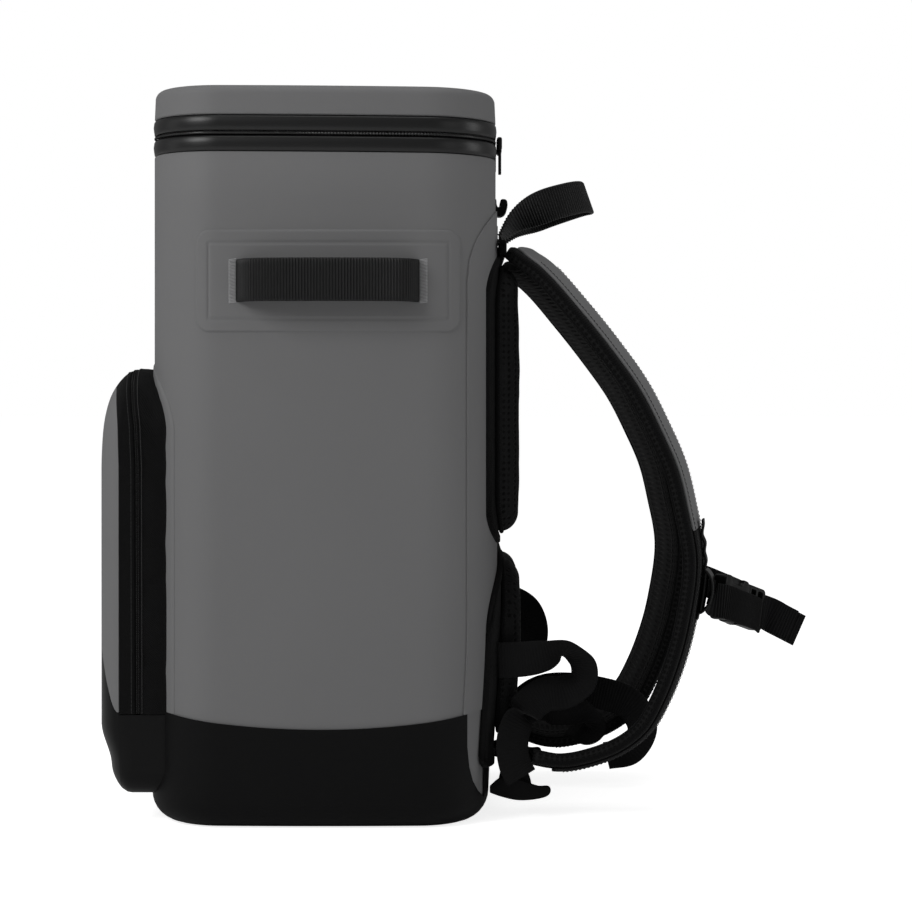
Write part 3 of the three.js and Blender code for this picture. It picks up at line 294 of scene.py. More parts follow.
def lay(name, places, size=(1.0, 1.0), joined=False, capped=False):
    """A grid laid at places[row, column]; joined closes the rows, capped fills both ends."""
    rows, columns = places.shape[0] - 1, places.shape[1] - 1
    deselect()
    bpy.ops.mesh.primitive_grid_add(x_subdivisions=columns, y_subdivisions=rows, size=1)
    piece = bpy.context.object
    piece.name = name
    piece.data.name = name
    piece.data.vertices.foreach_set("co", np.asarray(places, dtype=float).ravel())
    uv = piece.data.uv_layers.active.data
    values = np.empty(len(uv) * 2)
    uv.foreach_get("uv", values)
    values[0::2] *= size[0]
    values[1::2] *= size[1]
    uv.foreach_set("uv", values)
    bpy.ops.object.mode_set(mode="EDIT")
    bpy.ops.mesh.select_all(action="SELECT")
    if joined:
        bpy.ops.mesh.remove_doubles(threshold=1e-6)
    if capped:
        bpy.ops.mesh.select_all(action="DESELECT")
        bpy.ops.mesh.select_mode(type="EDGE")
        bpy.ops.mesh.select_non_manifold()
        bpy.ops.mesh.fill_holes(sides=0)
        bpy.ops.mesh.select_all(action="SELECT")
        bpy.ops.mesh.normals_make_consistent(inside=False)
    bpy.ops.object.mode_set(mode="OBJECT")
    piece.location = (0, 0, 0)
    if (joined or capped) and volume_of(piece) < 0:
        bpy.ops.object.mode_set(mode="EDIT")
        bpy.ops.mesh.flip_normals()
        bpy.ops.object.mode_set(mode="OBJECT")
    return piece


def modify(piece, kind, **values):
    """Add a modifier and apply it, as by hand."""
    deselect()
    piece.select_set(True)
    bpy.context.view_layer.objects.active = piece
    modifier = piece.modifiers.new(kind.lower(), kind)
    for key, value in values.items():
        setattr(modifier, key, value)
    bpy.ops.object.modifier_apply(modifier=modifier.name)
    return piece


def bevel(piece, width, degrees):
    """Round the edges that turn by more than some degrees."""
    return modify(piece, "BEVEL", width=width, segments=3, limit_method="ANGLE",
                  angle_limit=math.radians(degrees))


def finish_piece(piece, material, nodes=(), angle=40):
    """Give a piece its material and its smooth shading, and fix it to the body."""
    piece.data.materials.clear()
    piece.data.materials.append(material)
    deselect()
    piece.select_set(True)
    bpy.context.view_layer.objects.active = piece
    bpy.ops.object.shade_smooth_by_angle(angle=math.radians(angle))
    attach(piece, "root")
    if nodes:
        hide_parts(*nodes)
    return piece


def join_pieces(name, pieces):
    deselect()
    for piece in pieces:
        piece.select_set(True)
    bpy.context.view_layer.objects.active = pieces[0]
    bpy.ops.object.join()
    pieces[0].name = name
    pieces[0].data.name = name
    return pieces[0]


# %% [markdown]
# ## The body's outline
# Seen from above, the bag is a rectangle with round corners whose two sides swell a little. Its
# back leans in toward the base. One function gives this outline at any inset, so that the shell,
# the boot, the tapes and the lid always fit each other.

# %% Outline of the body, in metres
body_low, body_high = (np.array(v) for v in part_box("body_tub"))
WIDTH = body_high[0] - body_low[0]
DEPTH = body_high[1] - body_low[1]
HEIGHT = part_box("lid")[1][2] + 0.0003
CORNER_R = 0.050
SIDE_BULGE = 0.005
BACK_TAPER = 0.007
TAPER_HEIGHT = 0.150
BASE_R = 0.020
LID_FALL = 0.002
BOOT_HEIGHT = 0.070
BOOT_RISE = 0.012
GAP = 0.0003
HALF_DEPTH = DEPTH / 2
STRAIGHT_X = WIDTH / 2 - SIDE_BULGE - CORNER_R
STRAIGHT_Y = HALF_DEPTH - CORNER_R


def smooth(t):
    t = np.clip(t, 0, 1)
    return t * t * (3 - 2 * t)


def bulge(y):
    return 1 + SIDE_BULGE / (WIDTH / 2 - SIDE_BULGE) * (1 - (y / HALF_DEPTH) ** 2)


def taper(y, z):
    return np.where(y > 0, BACK_TAPER * y / HALF_DEPTH * smooth(1 - z / TAPER_HEIGHT), 0)


def lid_fall(y):
    return LID_FALL * (y / DEPTH + 0.5)


def boot_top(y):
    return BOOT_HEIGHT + BOOT_RISE * (y / HALF_DEPTH) ** 2


def flat_outline(inset, count):
    """Points of the rounded rectangle at equal distances, with their outward directions."""
    radius = CORNER_R - inset
    arc = radius * math.pi / 2
    runs = [2 * STRAIGHT_Y, arc, 2 * STRAIGHT_X, arc] * 2
    at = np.arange(count) / count * sum(runs)
    points = np.empty((count, 2))
    centres = [(1, 1), (-1, 1), (-1, -1), (1, -1)]
    start = 0.0
    for number, run in enumerate(runs):
        inside = (at >= start) & (at < start + run)
        share = (at[inside] - start) / run
        quarter = number // 2
        if number % 2 == 1:
            cx, cy = centres[quarter]
            turn = (quarter + share) * math.pi / 2
            points[inside, 0] = cx * STRAIGHT_X + radius * np.cos(turn)
            points[inside, 1] = cy * STRAIGHT_Y + radius * np.sin(turn)
        else:
            x0, y0 = centres[quarter - 1]
            x1, y1 = centres[quarter]
            side = quarter * math.pi / 2
            shift = (radius * math.cos(side), radius * math.sin(side))
            points[inside, 0] = (x0 + (x1 - x0) * share) * STRAIGHT_X + shift[0]
            points[inside, 1] = (y0 + (y1 - y0) * share) * STRAIGHT_Y + shift[1]
        start += run
    return points


def plan_ring(inset, height, count=240):
    """Ring round the body: its height may be a function of Y. The last point meets the first."""
    points = flat_outline(inset, count)
    y = points[:, 1]
    z = height(y) if callable(height) else np.full(count, float(height))
    ring = np.stack([points[:, 0] * bulge(y), y - taper(y, z), z], axis=1)
    return np.vstack([ring, ring[:1]])


def side_x(y):
    past = np.maximum(0, np.abs(y) - STRAIGHT_Y)
    return (STRAIGHT_X + np.sqrt(np.maximum(0, CORNER_R ** 2 - past ** 2))) * bulge(y)


def end_y(x):
    y = np.full_like(np.asarray(x, dtype=float), HALF_DEPTH)
    for _ in range(5):
        past = np.clip(np.abs(x) / bulge(y) - STRAIGHT_X, 0, CORNER_R)
        y = STRAIGHT_Y + np.sqrt(CORNER_R ** 2 - past ** 2)
    return y


def back_y(x, z):
    y = end_y(x)
    return y - taper(y, z)


print("body", round(WIDTH, 4), round(DEPTH, 4), "height", round(HEIGHT, 4))

# %% [markdown]
# ## Shell, boot and lid
# The tub is one wall of foam in coated cloth, open at the top. Its rings run up the outside,
# over the rim and down the inside, so it is a real hollow cup. The boot is a thin tough skin
# outside it, whose top edge dips along the sides.

# %% Tub
def cup(inset, floor, fillet, heights, steps=8):
    rings = []
    for i in range(steps + 1):
        turn = i / steps * math.pi / 2
        rings.append(plan_ring(inset + fillet * (1 - math.sin(turn)),
                               floor + fillet * (1 - math.cos(turn))))
    rings += [plan_ring(inset, height) for height in heights]
    return rings


tape_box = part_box("zipper_tape_lower"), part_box("zipper_tape_upper")
BAND_Z = tape_box[0][0][2] - GAP + LID_FALL
LID_Z = tape_box[1][1][2] + GAP
COIL_Z = (BAND_Z + LID_Z) / 2
TAPE_INSET = 0.0021
WALL = 0.022


def fallen(z):
    return lambda y: z - lid_fall(y)


def build_tub():
    outer = cup(0, 0.0016, BASE_R - 0.0016, [*np.linspace(0.03, 0.44, 24), fallen(BAND_Z - 0.001)])
    rim = fallen(COIL_Z - 0.0015)
    neck = [plan_ring(0.0006, fallen(BAND_Z)), plan_ring(TAPE_INSET, fallen(BAND_Z))]
    neck.append(plan_ring(TAPE_INSET, rim))
    inner = cup(WALL, 0.026, 0.012, [*np.linspace(0.06, 0.44, 8), rim])
    tub = lay("shell_body", np.array(outer + neck + inner[::-1]), joined=True, capped=True)
    finish_piece(tub, SHELL, ["body_tub"])
    print("tub faces:", len(tub.data.polygons))


build_tub()

# %% [markdown]
# The boot is notched at both back corners, where a tongue of the grey shell runs down into it.
# A cutter with the tongue's outline is drawn as a flat face, extruded through the corner, and
# taken out of the skin.

# %% Boot
TONGUE_RIGHT = HALF_DEPTH - 0.0085
TONGUE_WIDTH = 0.012
TONGUE_TIP = 0.018


def extruded(name, flat, move):
    """A flat outline of places, filled and extruded by a move."""
    deselect()
    bpy.ops.mesh.primitive_circle_add(vertices=len(flat), radius=1, fill_type="NGON")
    prism = bpy.context.object
    prism.name = name
    prism.data.vertices.foreach_set("co", np.array(flat, dtype=float).ravel())
    bpy.ops.object.mode_set(mode="EDIT")
    bpy.ops.mesh.select_all(action="SELECT")
    bpy.ops.mesh.extrude_region_move(TRANSFORM_OT_translate={"value": tuple(move)})
    bpy.ops.mesh.select_all(action="SELECT")
    bpy.ops.mesh.normals_make_consistent(inside=False)
    bpy.ops.object.mode_set(mode="OBJECT")
    prism.location = (0, 0, 0)
    return prism


def outline_prism(name, outline, low, high, along=0):
    """An outline of points drawn at low and extruded to high, along X (0) or Y (1)."""
    flat = [(low, a, b) if along == 0 else (a, low, b) for a, b in outline]
    return extruded(name, flat, (high - low, 0, 0) if along == 0 else (0, high - low, 0))


def cut(piece, cutter, operation="DIFFERENCE"):
    """Combine a piece with a cutter, which is then removed."""
    modify(piece, "BOOLEAN", object=cutter, operation=operation, solver="EXACT")
    bpy.data.objects.remove(cutter)
    return piece


def build_boot():
    heights = [*np.linspace(0.026, 0.066, 6), boot_top]
    outer = cup(-0.0016, 0, BASE_R, heights)
    lip = [plan_ring(-0.0011, lambda y: boot_top(y) + 0.0004)]
    inner = cup(-GAP, 0.0013, BASE_R - 0.0013, heights)
    boot = lay("base_boot_skin", np.array(outer + lip + inner[::-1]), joined=True, capped=True)
    left = TONGUE_RIGHT - TONGUE_WIDTH
    right = TONGUE_RIGHT
    down = [(left, 0.1), (left, 0.056), (left + 0.0014, 0.0414), (left + 0.004, 0.031)]
    tip = [(left + 0.0075, 0.0235), (left + 0.0105, 0.0192), (right - 0.0002, TONGUE_TIP),
           (right, 0.022)]
    for side in (1, -1):
        notch = outline_prism("notch", [*down, *tip, (right, 0.1)], side * STRAIGHT_X, side * WIDTH)
        cut(boot, notch)
    finish_piece(boot, BOOT, ["base_boot"])
    print("boot faces:", len(boot.data.polygons))


build_boot()

# %% [markdown]
# The lid is a padded slab. Its sides lean in a little, its top edge is a soft round and its top
# is slightly crowned, as foam under stretched cloth is.

# %% Lid
def build_lid():
    rings = [plan_ring(TAPE_INSET, fallen(COIL_Z + 0.0015)), plan_ring(TAPE_INSET, fallen(LID_Z))]
    rings += [plan_ring(0.0008, fallen(LID_Z)), plan_ring(0.0001, fallen(LID_Z + 0.0008))]
    edge = 0.0066
    top = HEIGHT - 0.0009
    for share in (0.35, 0.7, 1.0):
        level = LID_Z + 0.001 + share * (top - edge - LID_Z - 0.001)
        rings.append(plan_ring(0.0001 + 0.0006 * share, fallen(level)))
    for i in range(1, 9):
        turn = i / 8 * math.pi / 2
        inset = 0.0007 + edge * (1 - math.cos(turn))
        rings.append(plan_ring(inset, fallen(top - edge * (1 - math.sin(turn)))))
    for share in (0.25, 0.5, 0.75, 1.0):
        inset = 0.0074 + (CORNER_R * 0.8 - 0.0074) * share
        rings.append(plan_ring(inset, fallen(top + 0.0009 * share)))
    lid = lay("lid_shell", np.array(rings), joined=True, capped=True)
    finish_piece(lid, SHELL, ["lid"])
    print("lid faces:", len(lid.data.polygons))


build_lid()

# %% [markdown]
# ## Zipper band
# The watertight zipper is two strips of glossy tape that meet at a row of tiny teeth. Each tape
# is swollen in its middle where it is glued over the edge of the foam, and it catches a streak
# of light. The tapes run round the front and both sides, and stop at the cloth hinge behind.

# %% Tapes and teeth
HINGE_HALF = 0.060


def open_hinge(loop):
    """Cut away the stretch of a loop where the cloth hinge lies."""
    deselect()
    bpy.ops.mesh.primitive_cube_add(size=1, location=(0, HALF_DEPTH, COIL_Z))
    block = bpy.context.object
    block.scale = (2 * HINGE_HALF, 0.06, 0.08)
    bpy.ops.object.transform_apply(location=True, rotation=False, scale=True)
    return cut(loop, block)


def band_loop(name, profile, count=480):
    """Closed loop of a profile of inset and height, opened at the hinge."""
    rings = [plan_ring(inset, fallen(z), count) for inset, z in profile]
    rings.append(rings[0])
    return open_hinge(lay(name, np.array(rings), joined=True))


def tape_profile(low, high):
    """Section of a tape: pairs of inset and height, swollen in the middle."""
    span = high - low
    outer = [(0.0008, 0.0), (0.0, 0.06), (-0.0004, 0.3), (-0.0007, 0.55), (-0.0003, 0.85),
             (0.0008, 1.0)]
    inner = [(0.0017, 1.0), (0.0017, 0.0)]
    return [(inset, low + share * span) for inset, share in outer + inner]


def build_tapes():
    lower = band_loop("zipper_tape_low", tape_profile(BAND_Z + GAP, COIL_Z - 0.0016))
    upper = band_loop("zipper_tape_high", tape_profile(COIL_Z + 0.0016, LID_Z - GAP))
    finish_piece(lower, TAPE, ["zipper_tape_lower"], angle=60)
    finish_piece(upper, TAPE, ["zipper_tape_upper"], angle=60)
    print("tape faces:", len(lower.data.polygons), len(upper.data.polygons))


def build_teeth():
    """A round bead whose height rises and falls once for each tooth."""
    count = 880
    wave = 0.5 + 0.5 * np.cos(np.arange(count + 1) * math.pi)
    rings = []
    for i in range(9):
        turn = i / 8 * 2 * math.pi
        inset = 0.0008 - 0.0011 * math.cos(turn)
        ring = plan_ring(inset, fallen(COIL_Z + 0.0011 * math.sin(turn)), count)
        centre = plan_ring(0.0008, fallen(COIL_Z), count)
        rings.append(centre + (ring - centre) * (0.62 + 0.38 * wave[:, None]))
    rings[-1] = rings[0]
    loop = open_hinge(lay("zipper_teeth", np.array(rings), joined=True))
    finish_piece(loop, TAPE, ["zipper_coil"])
    print("teeth faces:", len(loop.data.polygons))


build_tapes()
build_teeth()

# %% [markdown]
# ## Curves for straps and webbing
# A strap follows a smooth curve through a few chosen places, and at each place it also has a
# direction across, which says how it is turned. Between the places both are blended.

# %% Smooth curve through places
def spline(points, count, power=0.25):
    """Curve through all the points; power 0.25 keeps it tight at close points, 0 is even."""
    points = np.asarray(points, dtype=float)
    first = 2 * points[0] - points[1]
    last = 2 * points[-1] - points[-2]
    padded = np.vstack([first, points, last])
    result = []
    for step in range(count + 1):
        spot = step / count * (len(points) - 1)
        i = min(int(spot), len(points) - 2)
        w = spot - i
        p0, p1, p2, p3 = padded[i:i + 4]
        pairs = (p0, p1), (p1, p2), (p2, p3)
        d0, d1, d2 = (max(np.sum((b - a) ** 2), 1e-12) ** power for a, b in pairs)
        t1 = ((p1 - p0) / d0 - (p2 - p0) / (d0 + d1) + (p2 - p1) / d1) * d1
        t2 = ((p2 - p1) / d1 - (p3 - p1) / (d1 + d2) + (p3 - p2) / d2) * d1
        square = (3 * (p2 - p1) - 2 * t1 - t2) * w ** 2
        cube = (2 * (p1 - p2) + t1 + t2) * w ** 3
        result.append(p1 + t1 * w + square + cube)
    return np.array(result)


def evenly(points, count, *others):
    """Places at equal distances along a curve, with other rows carried along."""
    steps = np.linalg.norm(np.diff(points, axis=0), axis=1)
    at = np.concatenate([[0], np.cumsum(steps)])
    wanted = np.linspace(0, at[-1], count + 1)
    rows = [np.stack([np.interp(wanted, at, row[:, k]) for k in range(3)], axis=1)
            for row in (points, *others)]
    return rows, at[-1]


def unit(rows):
    return rows / np.linalg.norm(rows, axis=1)[:, None]


def frames_along(stations, count, dense=400):
    """Places, directions across and normals along a strip, with its length."""
    places = spline([s[0] for s in stations], dense)
    wide = spline([s[1] for s in stations], dense, power=0)
    (places, wide), length = evenly(places, count, wide)
    tangent = unit(np.gradient(places, axis=0))
    wide = unit(wide - np.sum(wide * tangent, axis=1)[:, None] * tangent)
    return places, wide, np.cross(wide, tangent), length


def sweep(name, frames, section):
    """Carry a closed section of points (across, lift) along frames; section may vary by row."""
    places, wide, normal, length = frames
    rows = []
    for i in range(len(places)):
        ring = section(i / (len(places) - 1)) if callable(section) else section
        ring = np.vstack([ring, ring[:1]])
        rows.append(places[i] + ring[:, :1] * wide[i] + ring[:, 1:] * normal[i])
    around = np.sum(np.linalg.norm(np.diff(np.vstack([ring, ring[:1]]), axis=0), axis=1))
    return lay(name, np.array(rows), size=(around, length), joined=True, capped=True)


def strip_section(width, thickness, across=8):
    """Webbing's section: flat faces and round edges."""
    half, r = width / 2 - thickness / 2, thickness / 2
    top = [(x, r) for x in np.linspace(-half, half, across + 1)]
    right = [(half + r * math.sin(a), r * math.cos(a)) for a in np.linspace(0, math.pi, 5)[1:-1]]
    bottom = [(x, -r) for x in np.linspace(half, -half, across + 1)]
    left = [(-half - r * math.sin(a), -r * math.cos(a)) for a in np.linspace(0, math.pi, 5)[1:-1]]
    return np.array(top + right + bottom + left)


WEB_WIDTH = 0.025
test_strip = frames_along([((0, 0, 0), (0, 0, 1)), ((0, 1, 0), (0, 0, 1))], 4)
print("a test curve is", round(test_strip[3], 3), "long")

# %% [markdown]
# ## Side patches and handles
# Each side carries a welded patch of the same grey cloth, with a pressed line inside its edge.
# A strip of thick ribbed webbing rises out of it as a handle. Where the strip dives into the
# patch, a dense zigzag of grey thread holds it. The ribs are real waves of the surface, since
# the handle is close to the eye.

# %% Place on the side of the body
def side_place(y, z, lift):
    past = np.maximum(0, np.abs(y) - STRAIGHT_Y)
    flat = STRAIGHT_X + np.sqrt(np.maximum(0, (CORNER_R + lift) ** 2 - past ** 2))
    return np.stack([flat * bulge(y), y - taper(y, z), z], axis=-1)


def to_side(places, side):
    """The same places on the near side (1) or mirrored to the far side (-1)."""
    return places if side > 0 else (places * np.array([-1, 1, 1]))[:, ::-1]


def edge_distance(a, b, half_a, half_b, radius):
    """How far inside the edge of a rounded rectangle a point lies."""
    past_a = np.abs(a) - (half_a - radius)
    past_b = np.abs(b) - (half_b - radius)
    outside = np.hypot(np.maximum(past_a, 0), np.maximum(past_b, 0))
    return radius - outside - np.minimum(np.maximum(past_a, past_b), 0)


def crowded(u):
    return 0.5 - 0.5 * np.cos(math.pi * u)


def rounded_half(along, half_length, half_height, radius):
    past = np.clip(np.abs(along) - (half_length - radius), 0, radius)
    return half_height - radius + np.sqrt(radius ** 2 - past ** 2)


SIDES = (("near", 1), ("far", -1))
PATCH_Y = 0.0049
patch_low, patch_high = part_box("handle_patch_near")
PATCH_Z = (patch_low[2] + patch_high[2]) / 2
PATCH_HALF = 0.093
PATCH_HALF_Z = 0.036
PATCH_R = 0.010
PATCH_SEAM = 0.0092
PATCH_LIFT = 0.0013


def build_patch(name, side):
    u, v = np.meshgrid(np.linspace(0, 1, 161), np.linspace(0, 1, 73))
    y = (2 * crowded(u) - 1) * PATCH_HALF
    half = rounded_half(y, PATCH_HALF, PATCH_HALF_Z, PATCH_R)
    z = (2 * crowded(v) - 1) * half
    inside = edge_distance(y, z, PATCH_HALF, PATCH_HALF_Z, PATCH_R)
    groove = np.exp(-((inside - PATCH_SEAM) / 0.0007) ** 2)
    lift = 0.0001 + 0.0012 * smooth(inside / 0.0016) - 0.0006 * groove
    lift += 0.0003 * smooth((inside - 0.0095) / 0.001)
    patch = lay(f"side_patch_{name}", to_side(side_place(y + PATCH_Y, PATCH_Z + z, lift), side))
    modify(patch, "SOLIDIFY", thickness=0.0004, offset=-1)
    finish_piece(patch, SHELL, [f"handle_patch_{name}"], angle=60)


for name, side in SIDES:
    build_patch(name, side)
print("patches at height", round(PATCH_Z, 3))

# %% Handles of ribbed webbing
HANDLE_SPAN = 0.126
HANDLE_RISE = 0.020
HANDLE_WIDTH, HANDLE_THICK = 0.030, 0.0024
RIB, RIB_DEPTH = 0.0021, 0.36
# Along the handle as a share of its span, and off the patch as a share of its rise.
handle_route = [(-0.5, 0.0), (-0.49, 0.06), (-0.455, 0.5), (-0.40, 0.79), (-0.3, 0.95), (-0.1, 1)]
handle_route += [(-along, rise) for along, rise in reversed(handle_route)]


def ribbed(width, thickness, length, depth=RIB_DEPTH):
    """Section whose faces swell and sink once for each cord across the webbing."""
    base = strip_section(width, thickness, across=10)

    def section(share):
        swell = 1 + depth * math.cos(2 * math.pi * share * length / RIB)
        return base * np.array([1, swell])

    return section


def mirror_frames(frames, side):
    places, wide, normal, length = frames
    if side > 0:
        return frames
    flip = np.array([-1, 1, 1])
    return places * flip, wide * flip, normal * flip, length


def build_handle(name, side):
    stations = []
    for along, rise in handle_route:
        y = along * HANDLE_SPAN + PATCH_Y
        stations.append(((side_x(y) + 0.0028 + rise * HANDLE_RISE, y, PATCH_Z), (0, 0, 1)))
    frames = mirror_frames(frames_along(stations, 520), side)
    section = ribbed(HANDLE_WIDTH, HANDLE_THICK, frames[3])
    handle = sweep(f"handle_webbing_{name}", frames, section)
    finish_piece(handle, HANDLE, [f"side_handle_{name}"], angle=70)
    print("handle length", round(frames[3], 4))


def build_tacks(name, side):
    tacks = []
    for end in (-1, 1):
        u, v = np.meshgrid(np.linspace(-1, 1, 13), np.linspace(-1, 1, 241))
        y = PATCH_Y + end * (HALF_SPAN + 0.0036) + u * 0.0029
        z = PATCH_Z + v * 0.0155 + 0.0004 * u
        ridge = 0.6 + 0.4 * np.cos(2 * math.pi * v * 15.5)
        round_off = np.sqrt(np.maximum(0, 1 - u ** 6)) * np.sqrt(np.maximum(0, 1 - v ** 30))
        tack = lay("tack", to_side(side_place(y, z, PATCH_LIFT + 0.0009 * ridge * round_off), side))
        modify(tack, "SOLIDIFY", thickness=0.0003, offset=-1)
        tacks.append(tack)
    finish_piece(join_pieces(f"handle_stitching_{name}", tacks), THREAD)


HALF_SPAN = HANDLE_SPAN / 2
HANDLE = coated("handle_webbing", (0.0060, 0.0060, 0.0062), (0.0082, 0.0082, 0.0085), 0.46, 0.3,
                0.00010, 0.0)
for name, side in SIDES:
    build_handle(name, side)
    build_tacks(name, side)

# %% [markdown]
# ## Front pocket
# The pocket is a shallow hollow box of cloth. Its side walls are black twill with a zipper round
# them, its face is grey coated cloth, and its foot is a glossy black panel with an arched top
# edge. All of them lie on one smooth form, which is described by rings: each ring is the
# pocket's outline drawn in by some inset, at some depth behind the face.

# %% Form of the pocket
POCKET_HALF = 0.130
POCKET_TOP = 0.3215
POCKET_BOTTOM = 0.020
POCKET_DEPTH = 0.0385
POCKET_LEAN = 0.008
FOOT_TUCK, FOOT_TUCK_TOP, FOOT_TUCK_SPAN = 0.0075, 0.070, 0.030
SEAM_Z = 0.078
ARCH = 0.096
CLOTH = 0.002
FACE_SETBACK = 0.0172
SEAM_SETBACK, SEAM_FORWARD = 0.0175, 0.0056
ZIP_SETBACK, ZIP_FORWARD = 0.030, 0.008
FACE_Y = -HALF_DEPTH - POCKET_DEPTH
TOP_CORNER = 0.045
LOW_CORNER = 0.022

rounding = spline([
    # inset as a share of half the width, and how far behind the face as a share of the depth
    (0, 0.44), (0.012, 0.34), (0.035, 0.25), (0.075, 0.15), (0.13, 0.07),
    (0.25, 0.015), (0.5, -0.015), (0.88, -0.04),
], 120)
ROUND_INSET = rounding[:, 0] * POCKET_HALF
ROUND_BEHIND = np.minimum.accumulate(rounding[:, 1])
round_steps = np.hypot(np.diff(ROUND_INSET), np.diff(ROUND_BEHIND) * POCKET_DEPTH)
ROUND_REACH = np.concatenate([[0], np.cumsum(round_steps)])


def pocket_outline(inset, low=None):
    """Outline seen from the front: closed, or an arch that starts and ends at a low level."""
    arcs = []
    for quarter, radius in enumerate((TOP_CORNER, TOP_CORNER, LOW_CORNER, LOW_CORNER)):
        sx = 1 if quarter in (0, 3) else -1
        sz = 1 if quarter < 2 else -1
        edge = POCKET_TOP if sz > 0 else POCKET_BOTTOM
        kept = max(radius - inset, 0.004)
        shift = max(0, inset - (radius - kept))
        x = sx * (POCKET_HALF - radius - shift)
        z = edge - sz * (radius + shift)
        turn = (quarter + np.linspace(0, 1, 17)) * math.pi / 2
        arcs.append(np.stack([x + kept * np.cos(turn), z + kept * np.sin(turn)], axis=1))

    def straight(start, end, count):
        share = np.linspace(0, 1, count + 1)[1:-1, None]
        return start + (end - start) * share

    top = straight(arcs[0][-1], arcs[1][0], 30)
    if low is not None:
        right = np.array([POCKET_HALF - inset, low])
        left = np.array([inset - POCKET_HALF, low])
        return np.vstack([
            right[None], straight(right, arcs[0][0], 70), arcs[0], top, arcs[1],
            straight(arcs[1][-1], left, 70), left[None],
        ])
    parts = [arcs[0], top, arcs[1], straight(arcs[1][-1], arcs[2][0], 70), arcs[2]]
    parts += [straight(arcs[2][-1], arcs[3][0], 40), arcs[3]]
    parts += [straight(arcs[3][-1], arcs[0][0], 70), arcs[0][:1]]
    return np.vstack(parts)


def pocket_lean(z):
    span = 0.24 * (POCKET_TOP - POCKET_BOTTOM)
    tucked = FOOT_TUCK * smooth((FOOT_TUCK_TOP - z) / FOOT_TUCK_SPAN)
    return POCKET_LEAN * np.maximum(0, 1 - (POCKET_TOP - z) / span) ** 2 + tucked


def pocket_ring(inset, behind, skin=0.0, low=None):
    """Ring of the pocket's form; inset and behind may differ from point to point."""
    count = len(pocket_outline(0, low))
    insets = np.broadcast_to(inset, count) + skin
    levels = sorted(set(np.round(insets, 5)))
    if len(levels) == 1:
        flat = pocket_outline(insets[0], low)
    else:
        flat = np.array([pocket_outline(value, low)[i] for i, value in enumerate(insets)])
    x, z = flat[:, 0], flat[:, 1]
    y = FACE_Y + skin + behind * POCKET_DEPTH + pocket_lean(z) * (1 - 0.6 * behind)
    return np.stack([x, y, z], axis=1)


def seam_behind(setback, forward, low=None):
    """How far behind the face a seam runs, at each point of the outline."""
    z = pocket_outline(0, low)[:, 1]
    height = (z - SEAM_Z) / (POCKET_TOP - SEAM_Z)
    ahead = np.interp(height, (0, 0.72, 0.84, 0.92, 1, 1.1), (0, 0.05, 0.2, 0.55, 0.85, 1.1))
    y = setback - forward * ahead
    return (y - pocket_lean(z)) / (POCKET_DEPTH - 0.6 * pocket_lean(z))


def rear_behind(low=None):
    """The pocket's rear edge, a little inside the body's face."""
    x, z = pocket_outline(0, low).T
    y = 0.0008 - end_y(x) - FACE_Y
    return (y - pocket_lean(z)) / (POCKET_DEPTH - 0.6 * pocket_lean(z))


def inset_of(behind):
    return np.interp(-behind, -ROUND_BEHIND, ROUND_INSET)


def wall_rings(start, end, count, skin=0.0, low=None):
    depths = [start + (end - start) * share for share in np.linspace(0, 1, count)]
    return [pocket_ring(inset_of(behind), behind, skin, low) for behind in depths]


def face_rings(start, skin=0.0):
    """Rings from a seam over the rounded edge to the middle of the face."""
    begin = np.interp(-start, -ROUND_BEHIND, ROUND_REACH)
    rings = []
    for share in np.linspace(0, 1, 34) ** 1.7:
        reach = begin + (ROUND_REACH[-1] - begin) * share
        inset = np.interp(reach, ROUND_REACH, ROUND_INSET)
        rings.append(pocket_ring(inset, np.interp(reach, ROUND_REACH, ROUND_BEHIND), skin))
    return rings


def closed_shell(name, outer, inner):
    """A wall of cloth between two sets of rings, which meet at their first ring."""
    return lay(name, np.array(outer[::-1] + inner), joined=True, capped=True)


print("pocket face at", round(FACE_Y, 4))

# %% Grey face and black foot of the pocket
def arch_cutter(extra):
    """Everything below the arched seam, in front of the side seam, and the whole foot."""
    x = np.linspace(-1, 1, 61) * (POCKET_HALF + 0.004)
    z = SEAM_Z + extra + ARCH * (1 - np.minimum(1, np.abs(x / POCKET_HALF)) ** 5)
    side = POCKET_HALF + 0.02
    outline = [(side, 0.0), (-side, 0.0), (-side, z[0]), *zip(x, z), (side, z[-1])]
    arch = outline_prism("arch", outline, -0.25, FACE_Y + SEAM_SETBACK, along=1)
    block = [(0.2, -0.01), (-0.2, -0.01), (-0.2, SEAM_Z + extra), (0.2, SEAM_Z + extra)]
    foot = outline_prism("foot", block, -0.26, 0.01, along=1)
    return cut(arch, foot, "UNION")


def build_face():
    start = seam_behind(FACE_SETBACK, SEAM_FORWARD)
    face = closed_shell("pocket_face", face_rings(start), face_rings(start, CLOTH))
    cut(face, arch_cutter(0.0002))
    finish_piece(face, SHELL, ["pocket_front"], angle=50)
    print("face faces:", len(face.data.polygons))


def build_foot():
    seam = seam_behind(SEAM_SETBACK, SEAM_FORWARD)
    rear = rear_behind()
    outer = wall_rings(rear, seam, 8)[:-1] + face_rings(seam)
    inner = wall_rings(rear, seam, 8, CLOTH)[:-1] + face_rings(seam, CLOTH)
    foot = closed_shell("pocket_foot", outer, inner)
    cut(foot, arch_cutter(-0.0002), "INTERSECT")
    finish_piece(foot, GLOSS, ["pocket_lower"], angle=50)
    print("foot faces:", len(foot.data.polygons))


GLOSS = coated("pocket_foot_black", (0.0042, 0.0042, 0.0044), (0.0050, 0.0050, 0.0052), 0.36, 0.12,
               0.00004, 0.0012)
build_face()
build_foot()

# %% [markdown]
# The side walls are strips between two seams. The rear strip is slack, so it shows a few soft
# diagonal folds, and its top end is gathered into small pleats next to the body.

